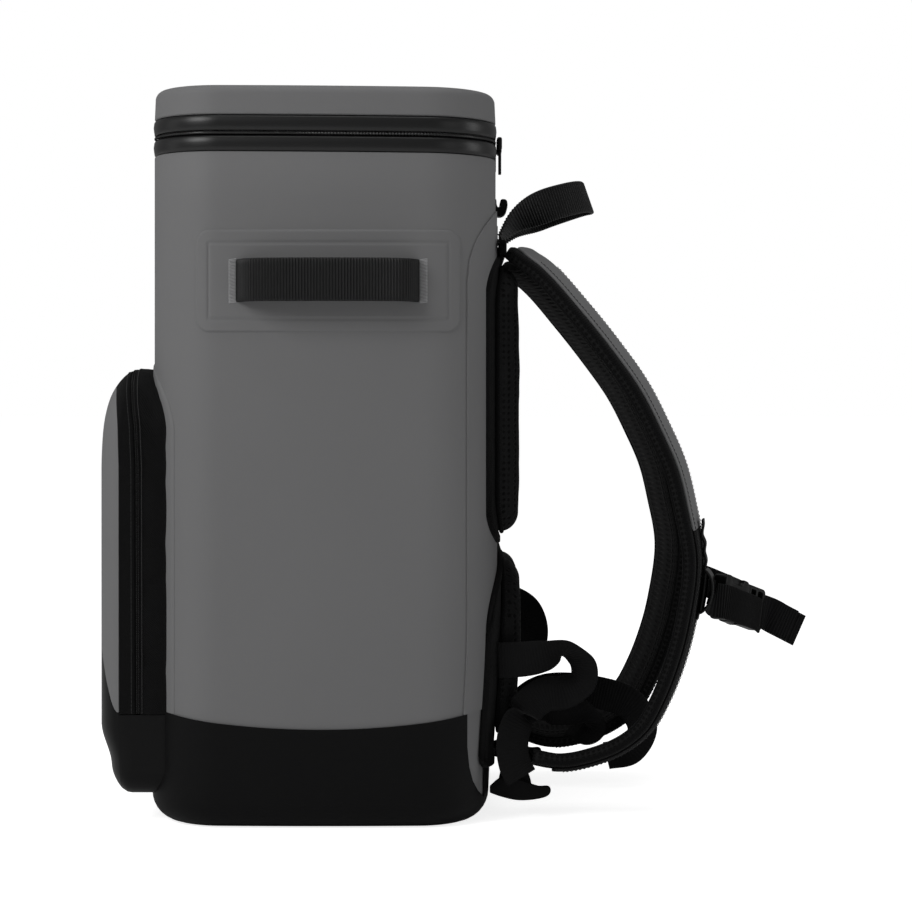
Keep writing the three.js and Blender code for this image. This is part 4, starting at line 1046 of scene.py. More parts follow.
# %% Twill walls of the pocket
FOLDS = [
    # start (behind, height), end (behind, height), half width, depth
    ((0.80, 0.304), (1.15, 0.286), 0.0040, 0.0016),
    ((0.86, 0.285), (1.30, 0.262), 0.0060, 0.0016),
    ((0.84, 0.262), (1.35, 0.236), 0.0070, 0.0012),
    ((0.95, 0.215), (1.40, 0.190), 0.0080, 0.0010),
    ((0.90, 0.160), (1.35, 0.180), 0.0070, 0.0008),
    ((0.85, 0.120), (1.35, 0.105), 0.0060, 0.0010),
]
FOLD_SCALE = 1.7
PLEATS = [(0.317, 0.0024), (0.312, 0.0022), (0.3065, 0.0024), (0.301, 0.0022)]


def fold_depth(depth_at, z):
    """How far the folds press the wall in at a depth behind the face and a height."""
    total = np.zeros_like(z)
    y = depth_at * POCKET_DEPTH
    for (b0, z0), (b1, z1), width, depth in FOLDS:
        start, end = np.array([b0 * POCKET_DEPTH, z0]), np.array([b1 * POCKET_DEPTH, z1])
        run = end - start
        share = np.clip(((y - start[0]) * run[0] + (z - start[1]) * run[1]) / run.dot(run), 0, 1)
        apart = np.hypot(y - start[0] - share * run[0], z - start[1] - share * run[1])
        total += (FOLD_SCALE * depth * np.exp(-(apart / width) ** 2)
                  * (0.35 + 0.65 * np.sin(math.pi * share)))
    return total


def strip_between(name, start, end, rows, soft=False):
    low = SEAM_Z + 0.0003
    outer = wall_rings(start, end, rows, 0.0, low)
    inner = wall_rings(start, end, rows, CLOTH * 0.8, low)
    if soft:
        shares = np.linspace(0, 1, rows)
        for ring, share in zip(outer, shares):
            behind = start + (end - start) * share
            normal = np.gradient(ring[:, [0, 2]], axis=0)
            normal = np.stack([normal[:, 1], -normal[:, 0]], axis=1)
            normal /= np.linalg.norm(normal, axis=1)[:, None]
            near_body = math.sin(math.pi * min(1, (1 - share) * 1.2)) * 0.9 + 0.1
            dent = fold_depth(behind, ring[:, 2]) * min(1, 6 * share)
            for height, width in PLEATS:
                crest = height - 0.010 * (1 - share) * 0.6
                pleat = 0.0009 * np.exp(-((ring[:, 2] - crest) / width * 2.4) ** 2)
                dent += pleat * (1 - share) ** 0.7 * min(1, 8 * share)
            puff = 0.0010 * near_body
            ring[:, 0] += normal[:, 0] * (puff - dent)
            ring[:, 2] += normal[:, 1] * (puff - dent)
    rings = outer + inner[::-1] + outer[:1]
    return lay(name, np.array(rings), size=(0.7, 0.05), joined=True, capped=True)


def build_walls():
    low = SEAM_Z + 0.0003
    rear = rear_behind(low)
    zip_behind = seam_behind(ZIP_SETBACK, ZIP_FORWARD, low)
    seam = seam_behind(SEAM_SETBACK, SEAM_FORWARD, low)
    half = 0.0022 / POCKET_DEPTH
    back = strip_between("pocket_wall_rear", rear, zip_behind + half, 30, soft=True)
    front = strip_between("pocket_wall_front", zip_behind - half, seam + 0.0001, 14)
    finish_piece(back, TWILL, ["pocket_gusset_rear"], angle=60)
    finish_piece(front, TWILL, ["pocket_gusset_front"], angle=60)
    print("wall faces:", len(back.data.polygons), len(front.data.polygons))


build_walls()

# %% [markdown]
# The pocket's zipper is a narrow row of coil teeth in the slit between both walls, with a row of
# stitches beside each edge. A stitch line is one long thread whose height rises and falls, so
# that it dips through the cloth between the stitches.

# %% Zipper and stitches of the pocket
def tube(name, places, normals, radius, sides=6, lift=0.0, wave=0.0, period=0.003):
    """A round thread along places. With a wave it rises and dips once for each period."""
    steps = np.linalg.norm(np.diff(places, axis=0), axis=1)
    at = np.concatenate([[0], np.cumsum(steps)])
    count = int(at[-1] / period * 6) if wave else int(at[-1] / (radius * 2))
    (centre, up), length = evenly(places, max(count, 4), normals)
    up = unit(up)
    tangent = unit(np.gradient(centre, axis=0))
    across = unit(np.cross(tangent, up))
    rise = lift + wave * np.cos(np.linspace(0, length / period * 2 * math.pi, len(centre)))
    centre = centre + up * rise[:, None]
    turn = np.linspace(0, 2 * math.pi, sides + 1)[None, :, None]
    rows = centre[:, None] + radius * (np.cos(turn) * across[:, None] + np.sin(turn) * up[:, None])
    return lay(name, rows, size=(radius * 6, length), joined=True, capped=True)


def wall_line(setback, forward, skin):
    """A line round the wall at a setback, with the wall's outward directions."""
    low = SEAM_Z + 0.001
    behind = seam_behind(setback, forward, low)
    ring = pocket_ring(inset_of(behind), behind, skin, low)
    flow = np.gradient(ring, axis=0)
    normal = np.stack([flow[:, 2], np.zeros(len(ring)), -flow[:, 0]], axis=1)
    return ring, unit(normal)


def build_pocket_zipper():
    places, normals = wall_line(ZIP_SETBACK, ZIP_FORWARD, 0.0011)
    base = tube("zip_base", places, normals, 0.0022, sides=8, lift=-0.0011)
    parts = [base]
    for shift in (-0.0007, 0.0007):
        places, normals = wall_line(ZIP_SETBACK + shift, ZIP_FORWARD, 0.0008)
        parts.append(tube("zip_teeth", places, normals, 0.00075, lift=0.0004, wave=0.0003,
                          period=0.0016))
    coil = join_pieces("pocket_zipper_teeth", parts)
    finish_piece(coil, PLASTIC, ["pocket_zipper"], angle=60)
    rows = []
    for setback in (0.0262, 0.0338):
        places, normals = wall_line(setback, ZIP_FORWARD, 0.0)
        puff = 0.0008 if setback > ZIP_SETBACK else 0.0
        rows.append(tube("stitches", places, normals, 0.00026, lift=puff, wave=0.0003,
                         period=0.0028))
    stitches = join_pieces("pocket_stitches", rows)
    finish_piece(stitches, BLACK_THREAD)
    print("zipper faces:", len(coil.data.polygons), "stitch faces:", len(stitches.data.polygons))


build_pocket_zipper()

# %% Weld round the pocket
def build_weld():
    """A narrow strip of coated cloth on the body, just outside the pocket's rear edge."""
    rows = []
    section = ((-0.0050, -0.0002), (-0.0048, 0.0006), (-0.0030, 0.0007), (0.0, 0.0007),
               (0.002, 0.0006))
    for inset, lift in section:
        x, z = pocket_outline(inset).T
        y = -end_y(x)
        rows.append(np.stack([x, y - taper(y, z) - lift, z], axis=1))
    weld = lay("pocket_weld", np.array(rows), joined=True)
    modify(weld, "SOLIDIFY", thickness=0.0006, offset=0)
    finish_piece(weld, SHELL, angle=50)


build_weld()

# %% [markdown]
# ## Back of the bag
# A wide panel of the grey cloth wraps round both back corners, and its edge shows as a fine line
# on each side. On it sit two black panels with a bound edge, and on those two cushions of foam
# under spacer mesh. A channel down the middle of each cushion lets air through.

# %% Grey wrap round the back corners
WRAP_TOP = 0.436
WRAP_ROUND = 0.052
WRAP_START = 0.1017
SOFT_SCALE = 0.028


def build_wrap():
    count = 1600
    ring = flat_outline(-0.0005, count)
    first_half = np.arange(count) < count // 2
    path = ring[(ring[:, 1] >= WRAP_START) & first_half]
    steps = np.concatenate([[0], np.cumsum(np.linalg.norm(np.diff(path, axis=0), axis=1))])
    wanted = steps[-1] * np.linspace(0, 1, 141)
    x = np.interp(wanted, steps, path[:, 0])
    y = np.interp(wanted, steps, path[:, 1])
    end = np.minimum(wanted, steps[-1] - wanted)
    past = np.clip(WRAP_ROUND - end, 0, WRAP_ROUND)
    top = WRAP_TOP - WRAP_ROUND + np.sqrt(WRAP_ROUND ** 2 - past ** 2)
    bottom = boot_top(y) + 0.0006
    v = np.linspace(0, 1, 61)[:, None]
    z = bottom + (top - bottom) * v
    places = np.stack([np.broadcast_to(x * bulge(y), z.shape), y - taper(y, z), z], axis=-1)
    wrap = lay("back_wrap", places[:, ::-1])
    modify(wrap, "SOLIDIFY", thickness=0.0012, offset=0)
    finish_piece(wrap, SHELL, angle=50)
    print("wrap faces:", len(wrap.data.polygons))


build_wrap()

# %% Black panels and mesh cushions
PANEL_WIDTH = 0.248
LOWER_PANEL = dict(width=PANEL_WIDTH, bottom=0.038, top=0.190, top_r=0.055, bottom_r=0.010)
UPPER_PANEL = dict(width=PANEL_WIDTH, bottom=0.197, top=0.404, top_r=0.030, bottom_r=0.026)


def back_grid(outline, columns, rows):
    """Grid over a rounded outline on the back, with the distance inside its edge."""
    width, bottom, top = outline["width"], outline["bottom"], outline["top"]
    u, v = np.meshgrid(*(crowded(np.linspace(0, 1, count + 1)) for count in (columns, rows)))
    x = (u - 0.5) * width

    def past(radius):
        over = np.clip(np.abs(x) - (width / 2 - radius), 0, radius)
        return radius - np.sqrt(radius ** 2 - over ** 2)

    low, high = bottom + past(outline["bottom_r"]), top - past(outline["top_r"])
    z = low + (high - low) * v
    inside = np.minimum(width / 2 - np.abs(x), np.minimum(high - z, z - low))
    return x, z, inside, v


def on_back(x, z, lift):
    return np.stack([x, back_y(x, z) + lift, z], axis=-1)


def build_panel(name, node, outline, over_boot):
    x, z, inside, _ = back_grid(outline, 110, 70)
    edge = smooth(inside / 0.0012)
    border = 0.0012 * smooth(inside / 0.001) * (1 - smooth((inside - 0.0055) / 0.001))
    lift = 0.0004 + over_boot + 0.0018 * edge + border
    panel = lay(name, on_back(x, z, lift)[:, ::-1], size=(0.25, 0.2))
    modify(panel, "SOLIDIFY", thickness=0.0012, offset=-1)
    finish_piece(panel, TWILL, [node], angle=60)


def build_cushion(name, node, outline, seat):
    """A foam cushion: full and nearly flat, round at its edge, with a channel down its middle."""
    x, z, inside, v = back_grid(outline, 120, 110)
    side = np.abs(x)
    channel = 1 - smooth((side - 0.0085) / 0.017)
    full = 0.0125 - 0.0070 * channel
    dome = np.sqrt(1 - (1 - np.clip(inside / 0.014, 0, 1)) ** 2)
    crown = 0.0012 * (1 - (2 * v - 1) ** 2)
    lift = seat + 0.0006 + (full + crown) * dome
    flat_size = (outline["width"], outline["top"] - outline["bottom"])
    skin = lay(name, on_back(x, z, lift)[:, ::-1], size=flat_size)
    soften(skin, 0.0016)
    modify(skin, "SOLIDIFY", thickness=0.0016, offset=-1)
    finish_piece(skin, PAD_MESH, [node], angle=80)
    border = back_border(outline, seat + 0.0016)
    bead = tube(f"{name}_piping", *border, 0.0016, sides=10)
    finish_piece(bead, BINDING)
    inner = dict(outline, width=outline["width"] - 0.014,
                 top=outline["top"] - 0.006, bottom=outline["bottom"] + 0.006)
    rim = back_border(inner, seat + 0.0098)
    rope = tube(f"{name}_edge_seam", *rim, 0.0012, sides=10)
    finish_piece(rope, BINDING)


def soften(piece, strength):
    """Slow unevenness of stuffed cloth."""
    clouds = bpy.data.textures.get("soft_clouds") or bpy.data.textures.new("soft_clouds", "CLOUDS")
    clouds.noise_scale = SOFT_SCALE
    modify(piece, "DISPLACE", texture=clouds, strength=strength, mid_level=0.5)


def back_border(outline, lift):
    """Closed line round an outline on the back, with its outward directions."""
    half, top, bottom = outline["width"] / 2, outline["top"], outline["bottom"]
    points = []
    corners = (1, top, 1), (-1, top, 1), (-1, bottom, -1), (1, bottom, -1)
    for quarter, (sx, edge, sign) in enumerate(corners):
        radius = outline["top_r"] if sign > 0 else outline["bottom_r"]
        turn = (quarter + np.linspace(0, 1, 15)) * math.pi / 2
        corner = np.stack([sx * (half - radius) + radius * np.cos(turn),
                           edge - sign * radius + radius * np.sin(turn)], axis=1)
        points.append(corner)
    flat = np.vstack([*points, points[0][:1]])
    (flat3,), _ = evenly(np.column_stack([flat, np.zeros(len(flat))]), 240)
    places = on_back(flat3[:, 0], flat3[:, 1], lift)
    return places, np.tile([0.0, 1.0, 0.0], (len(places), 1))


PAD_MESH = net("pad_mesh", 0.0044, kind="Object")
build_panel("back_panel_upper", "upper_back_panel", UPPER_PANEL, 0.0)
build_panel("back_panel_lower", "lower_back_panel", LOWER_PANEL, 0.0016)
upper_pad = dict(UPPER_PANEL, width=0.224, bottom=0.205, top=0.396)
lower_pad = dict(LOWER_PANEL, width=0.210, bottom=0.062, top=0.182)
build_cushion("back_cushion_upper", "upper_back_pad", upper_pad, 0.0028)
build_cushion("back_cushion_lower", "lower_back_pad", lower_pad, 0.0044)

# %% [markdown]
# ## Yoke, hook and grab handle
# The straps hang from a stiff sewn bar across the back. A second strip of webbing is sewn to the
# plate above it and loops out as a grab handle: it leaves the plate, folds over and runs back.

# %% Yoke and grab handle
def soft_block(name, node, bevel, material, grow=0.0, forward=0.0):
    """A block that fills a node's box, with rounded edges."""
    low, high = (np.array(v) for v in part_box(node))
    deselect()
    middle = (low + high) / 2 - np.array([0, forward, 0])
    bpy.ops.mesh.primitive_cube_add(size=1, location=tuple(middle))
    block = bpy.context.object
    block.name = name
    block.scale = tuple(high - low + grow)
    bpy.ops.object.transform_apply(location=True, rotation=False, scale=True)
    modify(block, "BEVEL", width=bevel, segments=4, limit_method="NONE")
    return finish_piece(block, material, [node])


soft_block("yoke_bar", "strap_yoke", 0.0022, TWILL, grow=0.0004)
soft_block("yoke_plate_cloth", "yoke_plate", 0.0009, TWILL)
soft_block("lid_hinge_cloth", "lid_hinge", 0.0006, BOOT)
soft_block("zipper_dock_block", "zipper_dock", 0.0016, TAPE)
soft_block("zipper_stop_block", "zipper_stop", 0.0008, TAPE)
soft_block("zipper_slider_body", "zipper_slider", 0.0014, PLASTIC)
soft_block("zipper_pull_tab", "zipper_pull", 0.0006, PLASTIC, forward=0.0030)

GRAB_ROOT_Y = 0.1269
GRAB_ROOT_Z = 0.4200
grab_half = [
    # out, across, up, how flat the strip lies
    (0, 1, 0, 6), (0.2, 0.99, 0.42, 1.2), (0.48, 0.92, 0.72, 0.15), (0.74, 0.72, 0.9, 0),
    (0.93, 0.4, 1, 0),
]
grab_route = [*grab_half, (1, 0, 1, 0), *((o, -a, u, -f) for o, a, u, f in reversed(grab_half))]


def build_grab():
    stations = []
    for out, across, up, flat in grab_route:
        place = (across * 0.042, GRAB_ROOT_Y + out * 0.0666, GRAB_ROOT_Z + up * 0.033)
        stations.append((place, unit(np.array([[flat, -0.35, 1]]))[0]))
    frames = frames_along(stations, 700)
    grab = sweep("grab_webbing", frames, ribbed(WEB_WIDTH, HANDLE_THICK, frames[3]))
    finish_piece(grab, HANDLE, ["grab_handle"], angle=70)
    print("grab handle length", round(frames[3], 3))


build_grab()

# %% The hook that keeps the webbing
def build_hook():
    low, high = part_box("hook_keeper")
    profile = [
        # off the back, up, as shares of the hook's box
        (0.0, 1.0), (0.15, 0.98), (0.20, 0.68), (0.28, 0.54), (0.38, 0.56), (0.42, 0.76),
        (0.50, 0.95), (0.70, 1.0), (0.93, 0.93), (1.0, 0.72), (0.96, 0.42), (0.80, 0.14),
        (0.52, 0.01), (0.22, 0.02), (0.0, 0.10),
    ]
    outline = [(low[1] + a * (high[1] - low[1]), low[2] + b * (high[2] - low[2]))
               for a, b in spline(profile, 70)]
    hook = outline_prism("hook_keeper_bar", outline, low[0], high[0])
    bevel(hook, 0.0008, 50)
    finish_piece(hook, PLASTIC, ["hook_keeper"], angle=50)


build_hook()

# %% [markdown]
# ## Shoulder straps
# Each strap is a curved foam pad. Its inner face and edges are spacer mesh, a felt-like binding
# folds over the edge, and an outer cover lies on top: coated grey above, plain black below.
# All its layers follow one curve, so they are swept along the same frames.

# %% Curve and frames of a strap
STRAP_HEIGHT = 0.414
STRAP_REACH = 0.150
STRAP_APART = 0.085
ROOF = math.radians(10)
strap_curve = [
    # off the back, height, apart, as shares of the reach, the height and the spacing
    (0.113, 0.986, 0.8), (0.24, 0.951, 0.87), (0.405, 0.883, 0.95), (0.56, 0.812, 1),
    (0.692, 0.744, 1), (0.79, 0.675, 1), (0.87, 0.608, 1), (0.917, 0.54, 1), (0.96, 0.446, 1),
    (0.922, 0.338, 1), (0.874, 0.271, 1), (0.802, 0.204, 1), (0.72, 0.153, 1), (0.6, 0.119, 1),
    (0.45, 0.098, 1), (0.31, 0.09, 1), (0.17, 0.098, 1),
]


def strap_frames(count=360):
    points = [(a * STRAP_APART, HALF_DEPTH + o * STRAP_REACH, h * STRAP_HEIGHT)
              for o, h, a in strap_curve]
    (places,), length = evenly(spline(points, 900), count)
    tangent = unit(np.gradient(places, axis=0))
    away = unit(np.stack([np.zeros(count + 1), -tangent[:, 2], tangent[:, 1]], axis=1))
    across = np.array([math.cos(ROOF), 0, 0]) - away * math.sin(ROOF)
    across = unit(across - np.sum(across * tangent, axis=1)[:, None] * tangent)
    normal = unit(np.cross(across, tangent))
    normal *= np.sign(np.sum(normal * away, axis=1))[:, None]
    return places, across, normal, length


def part_of(frames, start, end):
    places, wide, normal, length = frames
    first, last = int(round(start * (len(places) - 1))), int(round(end * (len(places) - 1)))
    part = slice(first, last + 1)
    return places[part], wide[part], normal[part], length * (end - start)


def end_shape(t):
    """Share of the full width that the strap keeps near its two ends."""
    end = min(1, min(t, 1 - t) * 14)
    return 0.72 + 0.28 * math.sqrt(1 - (1 - end) ** 2)


def pillow(half, low, high, power=5, crown_low=0.0, crown_high=0.0, count=56):
    """A soft rounded section between two levels, crowned on either face."""
    turn = np.arange(count) / count * 2 * math.pi
    cos, sin = np.cos(turn), np.sin(turn)
    x = half * np.sign(cos) * np.abs(cos) ** (2 / power)
    rise = np.sign(sin) * np.abs(sin) ** (2 / power)
    middle = 1 - (x / half) ** 2
    mid, depth = (low + high) / 2, (high - low) / 2
    n = mid + depth * rise
    n += np.where(rise > 0, crown_high, -crown_low) * middle * np.abs(rise)
    return np.stack([x, n], axis=1)


STRAP_HALF, COVER_HALF = 0.036, 0.030
PAD_LOW, PAD_HIGH, COVER_LOW, COVER_HIGH = -0.0058, 0.0029, 0.0031, 0.0058
base_frames = strap_frames()
STRAP_LENGTH = base_frames[3]
print("strap length", round(STRAP_LENGTH, 3))

# %% Layers of a strap
def binding_section(half):
    """A thin band folded over the pad's upper edge, from under the cover to half way down."""
    over = [(half - 0.010, PAD_HIGH + 0.0006), (half - 0.004, PAD_HIGH + 0.0007),
            (half - 0.0012, PAD_HIGH), (half + 0.0003, PAD_HIGH - 0.0012),
            (half + 0.0006, PAD_HIGH - 0.0022), (half + 0.0003, -0.0004)]
    under = [(x - 0.0012, n - 0.0009) for x, n in reversed(over)]
    return spline_section(over) + spline_section(under)


def spline_section(points):
    return [tuple(p) for p in spline(points, 12)]


def build_strap(name, side):
    def whole(t):
        return STRAP_HALF * end_shape(t)

    frames = mirror_frames(base_frames, side)
    pad = sweep(f"strap_foam_{name}", frames,
                lambda t: pillow(whole(t), PAD_LOW, PAD_HIGH, 6, crown_low=0.0010))
    soften(pad, 0.0010)
    finish_piece(pad, MESH, [f"strap_pad_{name}"], angle=80)
    bands = []
    for edge in (1, -1):
        section = lambda t, edge=edge: np.array(binding_section(whole(t))) * np.array([edge, 1])
        bands.append(sweep("band", part_of(frames, 0.004, 0.996), section))
    finish_piece(join_pieces(f"strap_binding_{name}", bands), BINDING, angle=60)
    beads = []
    for edge in (1, -1):
        shift = np.array([whole(t) for t in np.linspace(0, 1, len(frames[0]))])[:, None] - 0.0012
        line = frames[0] + edge * frames[1] * shift + frames[2] * (PAD_LOW + 0.0010)
        beads.append(tube("bead", line, frames[2], 0.0010, sides=8))
    finish_piece(join_pieces(f"strap_edge_{name}", beads), BINDING, angle=60)
    for part, start, end, material, slot, node in (
        ("grey", 0.008, 0.503, SHELL, "shell", "strap_cover"),
        ("black", 0.5, 0.965, BINDING, "twill", "strap_lower"),
    ):
        def section(t, start=start, end=end, thin=0.0003 if part == "black" else 0.0):
            share = start + (end - start) * t
            half = COVER_HALF * end_shape(min(max((share - 0.02) / 0.96, 0), 1))
            return pillow(half, COVER_LOW, COVER_HIGH - thin, 5, crown_high=0.0008)

        cover = sweep(f"strap_cover_{part}_{name}", part_of(frames, start, end), section)
        finish_piece(cover, material, [f"{node}_{name}"], angle=70)
    seams = []
    for edge in (1, -1):
        cut_frames = part_of(frames, 0.05, 0.95)
        shares = 0.05 + 0.9 * np.linspace(0, 1, len(cut_frames[0]))
        inset = np.array([COVER_HALF * end_shape(t) - 0.0045 for t in shares])[:, None]
        line = cut_frames[0] + edge * cut_frames[1] * inset + cut_frames[2] * (COVER_HIGH + 0.0002)
        seams.append(tube("seam", line, cut_frames[2], 0.0003, wave=0.0003, period=0.0032))
    finish_piece(join_pieces(f"strap_stitches_{name}", seams), BLACK_THREAD)


for name, side in SIDES:
    build_strap(name, side)

# %% [markdown]
# ## Chest strap
# A narrow rail of webbing is sewn along each strap. An arched plastic slider grips it and holds
# the chest webbing. The buckle is closed: its two halves show the oval release button on their
# upper edge, and the webbing lies over their face before its folded end hangs down.

# %% Rails and sliders
CHEST_SHARE = 0.595
SLIDER_LENGTH = 0.030


def on_strap(side, share, lift):
    places, wide, normal, _ = mirror_frames(base_frames, side)
    i = share * (len(places) - 1)
    row = [np.array([np.interp(i, np.arange(len(places)), field[:, k]) for k in range(3)])
           for field in (places, wide, normal)]
    return row[0] + lift * row[2], row[1], row[2]


def build_rail(name, side):
    stations = []
    lifts = (0.0030, 0.0024, 0.0002, 0.0014, 0.0002, 0.0012, 0.0, 0.0, 0.0)
    steps = (-0.102, -0.094, -0.080, -0.068, -0.056, -0.044, -0.03, 0.0, 0.042)
    for step, lift in zip(steps, lifts):
        place, wide, _ = on_strap(side, CHEST_SHARE + step, COVER_HIGH + 0.0016 + lift)
        stations.append((place, wide))
    frames = frames_along(stations, 90)
    rail = sweep(f"chest_rail_{name}", frames, strip_section(0.016, 0.0014, across=6))
    finish_piece(rail, WEBBING, [f"strap_rail_{name}"], angle=60)


def build_slider(name, side):
    lift = COVER_HIGH + 0.0006 + 0.0014 + 0.0018
    stations = []
    rises = [(-0.5, -0.0012), (-0.46, 0.0006), (-0.3, 0.0040), (0, 0.0056)]
    rises += [(-step, rise) for step, rise in reversed(rises[:-1])]
    for step, rise in rises:
        share = CHEST_SHARE + step * SLIDER_LENGTH / STRAP_LENGTH
        place, wide, _ = on_strap(side, share, lift + rise)
        stations.append((place, wide))
    section = strip_section(0.0270, 0.0022, across=6)
    arch = sweep(f"chest_slider_{name}", frames_along(stations, 60), section)
    bars = [arch]
    for edge in (-1, 1):
        stations = []
        for step in (-0.44, 0, 0.44):
            share = CHEST_SHARE + step * SLIDER_LENGTH / STRAP_LENGTH
            place, wide, _ = on_strap(side, share, lift - 0.0004)
            stations.append((place + edge * wide * 0.0120, wide))
        bars.append(sweep("bar", frames_along(stations, 12), strip_section(0.0030, 0.0026, 2)))
    slider = join_pieces(f"chest_slider_arch_{name}", bars)
    finish_piece(slider, PLASTIC, [f"chest_slider_{name}"], angle=50)


for name, side in SIDES:
    build_rail(name, side)
    build_slider(name, side)

# %% Buckle
BUCKLE_LENGTH, BUCKLE_WIDTH, BUCKLE_THICKNESS = 0.062, 0.033, 0.011
seat_lift = COVER_HIGH + 0.0006 + 0.0014 + 0.0006 + 0.0030 + 0.0016
near_seat = on_strap(1, CHEST_SHARE, seat_lift)[0]
far_seat = on_strap(-1, CHEST_SHARE, seat_lift)[0]
AXIS = unit(np.array([[-0.78, 0.575, -0.25]]))[0]
UP = np.array([0, 0, 1.0])
WIDE = unit((UP - UP.dot(AXIS) * AXIS)[None])[0]
FRONT = np.cross(WIDE, AXIS)
FRONT *= np.sign(FRONT[0])


def at_buckle(distance, across=0.0, lift=0.0):
    """Place in the buckle's own frame: along it, up across it, and off its face."""
    return near_seat + AXIS * (0.012 + distance) + WIDE * across + FRONT * lift


def buckle_prism(name, outline, low, high):
    """An outline of points (along, across) with a thickness from low to high off its middle."""
    return extruded(name, [at_buckle(a, w, low) for a, w in outline], FRONT * (high - low))


def rounded_outline(low_a, high_a, low_w, high_w, radius, steps=6):
    points = []
    corners = ((high_a, high_w, 0), (low_a, high_w, 1), (low_a, low_w, 2), (high_a, low_w, 3))
    for a, w, quarter in corners:
        ca = a - radius if a == high_a else a + radius
        cw = w - radius if w == high_w else w + radius
        for i in range(steps + 1):
            turn = (quarter + i / steps) * math.pi / 2
            points.append((ca + radius * math.cos(turn), cw + radius * math.sin(turn)))
    return points


def build_buckle():
    half = BUCKLE_LENGTH / 2
    width, thick = BUCKLE_WIDTH / 2, BUCKLE_THICKNESS / 2
    case = rounded_outline(0, half + 0.004, -width, width, 0.004)
    socket = buckle_prism("buckle_socket", case, -thick, thick)
    for edge in (1, -1):
        low, high = sorted((edge * (width - 0.0052), edge * (width + 0.008)))
        window = rounded_outline(0.008, 0.026, low, high, 0.0045)
        cut(socket, buckle_prism("cutter", window, -0.02, 0.02))
    bevel(socket, 0.0010, 40)
    finish_piece(socket, PLASTIC, ["chest_buckle_socket"])
    prongs = []
    for edge in (1, -1):
        low, high = sorted((edge * (width - 0.0056), edge * (width + 0.0004)))
        button = rounded_outline(0.0095, 0.0245, low, high, 0.0028)
        prong = buckle_prism("prong", button, -0.0035, 0.0035)
        bevel(prong, 0.0014, 40)
        prongs.append(prong)
    end = rounded_outline(half + 0.0045, BUCKLE_LENGTH, -0.0155, 0.0155, 0.0035)
    plug = buckle_prism("plug", end, -0.0044, 0.0044)
    for low, high in ((half + 0.0095, half + 0.0165), (half + 0.0195, half + 0.0270)):
        slot = rounded_outline(low, high, -0.0128, 0.0128, 0.0012)
        cut(plug, buckle_prism("slot", slot, -0.02, 0.02))
    bevel(plug, 0.0009, 40)
    plug = join_pieces("buckle_plug", [plug, *prongs])
    finish_piece(plug, PLASTIC, ["chest_buckle_plug"])
    print("buckle faces:", len(socket.data.polygons))


build_buckle()

# %% Chest webbing
def ribbon(name, stations, count, width, thickness, nodes, ribs=False):
    frames = frames_along(stations, count)
    section = strip_section(width, thickness, across=10)
    piece = sweep(name, frames, ribbed(width, thickness, frames[3]) if ribs else section)
    print(f"{name}: {frames[3] * 1000:.0f} mm of webbing {width * 1000:.0f} mm wide")
    return finish_piece(piece, WEBBING, nodes, angle=70)


def build_chest_webbing():
    face = BUCKLE_THICKNESS / 2 + 0.0014
    down = -0.0042
    ribbon("chest_webbing_near", [
        (near_seat + np.array([0.0045, 0.0006, 0.0005]), WIDE),
        (at_buckle(-0.010, down, 0.0015), WIDE),
        (at_buckle(0.001, down, face), WIDE),
        (at_buckle(0.020, down, face + 0.0004), WIDE),
        (at_buckle(0.042, down, face), WIDE),
        (at_buckle(0.054, down, face - 0.0022), WIDE),
        (at_buckle(0.0635, down, 0.0012), WIDE),
    ], 260, WEB_WIDTH, 0.0018, ["chest_web_near"], ribs=True)
    start = BUCKLE_LENGTH + 0.0006
    bend = at_buckle(start + 0.004, 0, -0.0022)
    sag = np.array([0, 0.009, -0.001])
    ribbon("chest_webbing_far", [
        (at_buckle(start - 0.004, 0, -0.0022), WIDE),
        (bend, WIDE),
        (bend + (far_seat - bend) * 0.3 + sag, WIDE),
        (bend + (far_seat - bend) * 0.7 + sag, UP),
        (far_seat + np.array([0.003, 0.0016, 0]), UP),
        (far_seat + np.array([-0.006, 0.0008, 0]), UP),
    ], 200, WEB_WIDTH, 0.0016, ["chest_web_far"])
    hang = unit(np.array([[-0.1, 0.86, -0.45]]))[0]
    tail = at_buckle(start + 0.0010, 0, 0.0022)
    lead = tail - AXIS * 0.006
    pieces = []
    for reach, shift in ((0.032, 0.0), (0.024, 0.0020)):
        frames = frames_along([
            (lead, WIDE), (tail + AXIS * 0.002 + hang * 0.002 + FRONT * shift, WIDE),
            (tail + hang * reach * 0.5 + FRONT * shift, WIDE),
            (tail + hang * reach + FRONT * shift, WIDE),
        ], 140)
        pieces.append(sweep("fold", frames, ribbed(WEB_WIDTH, 0.0017, frames[3], depth=0.25)))
    folded = join_pieces("chest_webbing_tail", pieces)
    finish_piece(folded, WEBBING, ["chest_tail"], angle=70)


build_chest_webbing()
print("chest pieces made")

# %% [markdown]
# ## Anchors and slack webbing
# A leaf-shaped tab is sewn into the foot of the back on each side. Webbing runs from the strap's
# ladder lock down to it. The hip belt is not in use, so its webbing is folded up beside the
# lower cushion in loose loops.

# %% Anchors
anchor_low, anchor_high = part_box("strap_anchor_near")


